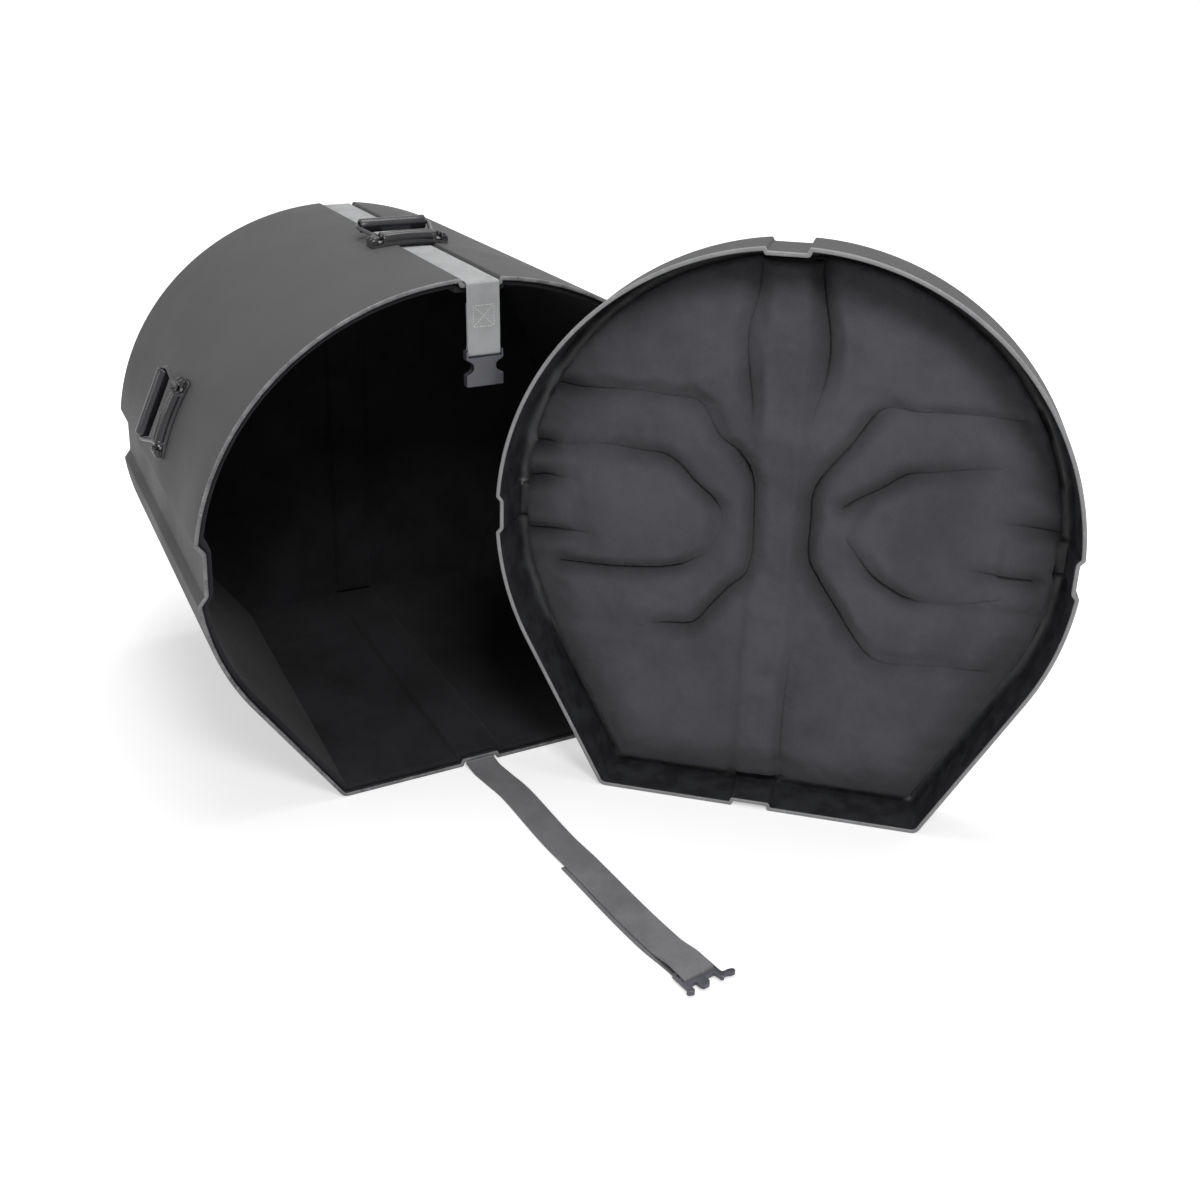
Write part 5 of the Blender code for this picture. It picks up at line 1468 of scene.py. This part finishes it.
def handleCap(side, matrix, way, label):
    # ridged cap over one end of the base
    v = handleShape
    half, start = v["length"] / 2, v["ridgeHalf"] + v["armSlot"]
    low, top = v["plate"] + shellBuild["gap"], v["crest"] - v["capStep"]
    foot = low + v["capFoot"]
    run = [
        (start, foot, top - 0.0010, -0.0006, low), (start + 0.0005, foot, top - 0.0002, 0.0, low),
        (start + 0.0012, foot, top, 0.0, low), (half - 0.0034, foot, top - 0.0002, 0.0, low),
        (half - 0.0016, foot, top - v["capDrop"] * 0.4, 0.0, low),
        (half, foot, top - v["capDrop"], -0.0005, low),
    ]
    if way < 0:
        run = otherEnd(run)
    cap = ridgedBar(side + "HandleCap" + label.title(), run, mats["handlePlastic"])
    return place(cap, matrix, "case_body", "handle_plastic", side + "_handle_cap_" + label)


def handleRivet(side, matrix, way, label):
    # domed head in the slot between base and cap
    v = handleShape
    u = way * (v["ridgeHalf"] + v["armSlot"] / 2)
    stand = Matrix.Translation((u, -v["ridgeAt"], v["plate"] + bowDrop(u)))
    stand = stand @ Matrix.Rotation(math.asin(u / v["bow"]), 4, "Y") @ Matrix.Rotation(-math.pi / 2, 4, "Y")
    head, dome = v["rivetHead"], v["rivetDome"]
    profile = [(0.0, 0.001), (0.0003, head * 0.96), (0.0006, head)]
    profile += [(0.0006 + dome * math.sin(t), head * math.cos(t)) for t in (0.3, 0.6, 0.9, 1.2, 1.45)]
    rivet = turned(side + "HandleRivet" + label.title(), profile, 28, mats["rivetMetal"], stand)
    return place(rivet, matrix, "case_body", "coated_wire", side + "_handle_rivet_" + label)


def handleBail(side, matrix):
    # one bent wire: a pin in each slot, two arms and the bar that the grip turns on
    v = handleShape
    slope = (v["out"] - v["pivotOut"]) / (v["reach"] - v["ridgeAt"])
    arm = v["ridgeHalf"] + v["armSlot"] / 2
    route = [
        (v["ridgeHalf"] - v["pin"], v["ridgeAt"]), (arm, v["ridgeAt"]),
        (arm + 0.0002, v["ridgeAt"] + v["elbow"]),
        (v["bailHalf"], v["reach"] - v["knee"]), (v["bailHalf"], v["reach"]),
    ]
    corners = [Vector((u, y, v["pivotOut"] + slope * (y - v["ridgeAt"]))) for u, y in route]
    corners += [Vector((-p.x, p.y, p.z)) for p in reversed(corners)]
    bends = v["bends"] + v["bends"][::-1]
    bail = tube(side + "HandleBail", bentPath(corners, bends), v["wire"], 18, mats["coatedWire"])
    return place(bail, matrix, side + "_handle", "coated_wire", side + "_handle_bail")


def handleGrip(side, matrix):
    # rubber sleeve with rounded ends on the bail's bar
    v = handleShape
    end, radius = v["gripLength"] / 2, v["gripRadius"]
    bore = v["wire"] + shellBuild["gap"]
    profile = [
        (end - 0.003, bore), (end - 0.003, radius * 0.62), (end - 0.0002, radius * 0.66), (end, radius * 0.72),
        (end - 0.0001, radius * 0.86), (end - 0.0006, radius * 0.96), (end - 0.0015, radius),
    ]
    profile += [(end * (1 - i / 3), radius) for i in (1, 2)]
    profile += [(-x, r) for x, r in reversed(profile)]
    profile.append(profile[0])
    stand = Matrix.Translation((0, v["reach"], v["out"]))
    grip = turned(side + "HandleGrip", profile, 44, mats["gripRubber"], stand)
    return place(grip, matrix, side + "_handle", "grip_rubber", side + "_handle_grip")


def makeHandle(side, angle):
    matrix = handleFrame(angle)
    handleBase(side, matrix)
    for way, label in ((-1, "low"), (1, "high")):
        handleCap(side, matrix, way, label)
        handleRivet(side, matrix, way, label)
    bail = handleBail(side, matrix)
    handleGrip(side, matrix)
    return bail


handleAngles = {"top": 90.0, "left": 180.0 - handleShape["sideAngle"], "right": handleShape["sideAngle"]}
for side, angle in handleAngles.items():
    bail = makeHandle(side, math.radians(angle))
    low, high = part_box(side + "_handle_bail")
    shown = [bail.matrix_world @ Vector(c) for c in bail.bound_box]
    gaps = [round((min(p[i] for p in shown) - low[i]) * 1000, 2) for i in range(3)]
    print(side, "handle made; its bail is off its solid by", gaps, "mm")

# the buckle halves keep their solids: a finer finish and softened edges
buckleFinish = {"edges": {"female_buckle": 0.0005, "male_buckle": 0.0004}, "sharpFrom": 34}


def dressBuckles():
    for name, width in buckleFinish["edges"].items():
        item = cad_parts[name]
        item.data.materials.clear()
        item.data.materials.append(mats["bucklePlastic"])
        item.data.shade_smooth()
        item.data.set_sharp_from_angle(angle=math.radians(buckleFinish["sharpFrom"]))
        soft = item.modifiers.new("softEdge", "BEVEL")
        soft.width = width
        soft.segments = 2
        soft.limit_method = "ANGLE"
        soft.angle_limit = math.radians(buckleFinish["sharpFrom"])


dressBuckles()
print("buckles dressed")


studio = {
    "floorColour": (0.72, 0.72, 0.725, 1), "floorSide": 30.0, "floorLevel": -0.0002,
    "nearLift": 0.52, "farLift": 1.0, "nearReach": 0.55, "farReach": 1.15, "ambient": 0.25,
    "lamps": [
        # place, aim, size, watts
        ((-0.5, -2.3, 2.6), (0.0, -0.1, 0.3), 0.8, 44.0),
        ((0.2, 0.2, 2.9), (0.0, 0.0, 0.3), 1.5, 32.0),
        ((2.2, -0.6, 1.7), (0.1, -0.1, 0.3), 1.2, 6.0),
        ((-2.1, 0.0, 1.1), (-0.3, 0.1, 0.4), 0.4, 4.0),
    ],
}


def seenByEye(tree):
    # 1 for rays from the camera, by a mirror or through something clear too; 0 for those that only light
    ray = addNode(tree, "ShaderNodeLightPath")
    seen = mathNode(tree, "MAXIMUM", ray.outputs["Is Camera Ray"], ray.outputs["Is Glossy Ray"])
    return mathNode(tree, "MAXIMUM", seen, ray.outputs["Is Transmission Ray"])


def makeFloor():
    # matte floor with a glow that only the eye sees, so that it fades to white away from the case
    side, level = studio["floorSide"], studio["floorLevel"]
    corners = [(-side, -side, level), (side, -side, level), (side, side, level), (-side, side, level)]
    floor = newPiece("studioFloor", corners, [(0, 1, 2, 3)], [])
    material = bpy.data.materials.new("paleFloor")
    material.use_nodes = True
    tree = material.node_tree
    tree.nodes.clear()
    end = addNode(tree, "ShaderNodeOutputMaterial")
    spot = addNode(tree, "ShaderNodeTexCoord").outputs["Object"]
    away = addNode(tree, "ShaderNodeVectorMath", [(0, spot)], operation="LENGTH").outputs["Value"]
    reach, lifts = (studio["nearReach"], studio["farReach"]), (studio["nearLift"], studio["farLift"])
    lift = mapRange(tree, away, *reach, *lifts)
    matte = addNode(tree, "ShaderNodeBsdfDiffuse", [("Color", studio["floorColour"])])
    strength = mathNode(tree, "MULTIPLY", seenByEye(tree), lift)
    glow = addNode(tree, "ShaderNodeEmission", [("Strength", strength)])
    both = addNode(tree, "ShaderNodeAddShader", [(0, matte.outputs[0]), (1, glow.outputs[0])])
    tree.links.new(both.outputs[0], end.inputs[0])
    floor.data.materials.append(material)


def makeWorld():
    # white to the eye, dim as a light
    world = bpy.data.worlds.new("studioWorld")
    bpy.context.scene.world = world
    world.use_nodes = True
    tree = world.node_tree
    tree.nodes.clear()
    end = addNode(tree, "ShaderNodeOutputWorld")
    strength = mapRange(tree, seenByEye(tree), 0.0, 1.0, studio["ambient"], 1.0, False)
    back = addNode(tree, "ShaderNodeBackground", [("Color", (1, 1, 1, 1)), ("Strength", strength)])
    tree.links.new(back.outputs[0], end.inputs[0])


def makeLamps():
    for number, (spot, aim, size, watts) in enumerate(studio["lamps"]):
        data = bpy.data.lights.new("softLamp%d" % number, "AREA")
        data.size = size
        data.energy = watts
        lamp = bpy.data.objects.new(data.name, data)
        bpy.context.scene.collection.objects.link(lamp)
        direction = Vector(aim) - Vector(spot)
        lamp.location = spot
        lamp.rotation_euler = direction.to_track_quat("-Z", "Y").to_euler()


makeFloor()
makeWorld()
makeLamps()
bpy.context.scene.view_settings.view_transform = "Standard"
print("studio lit")
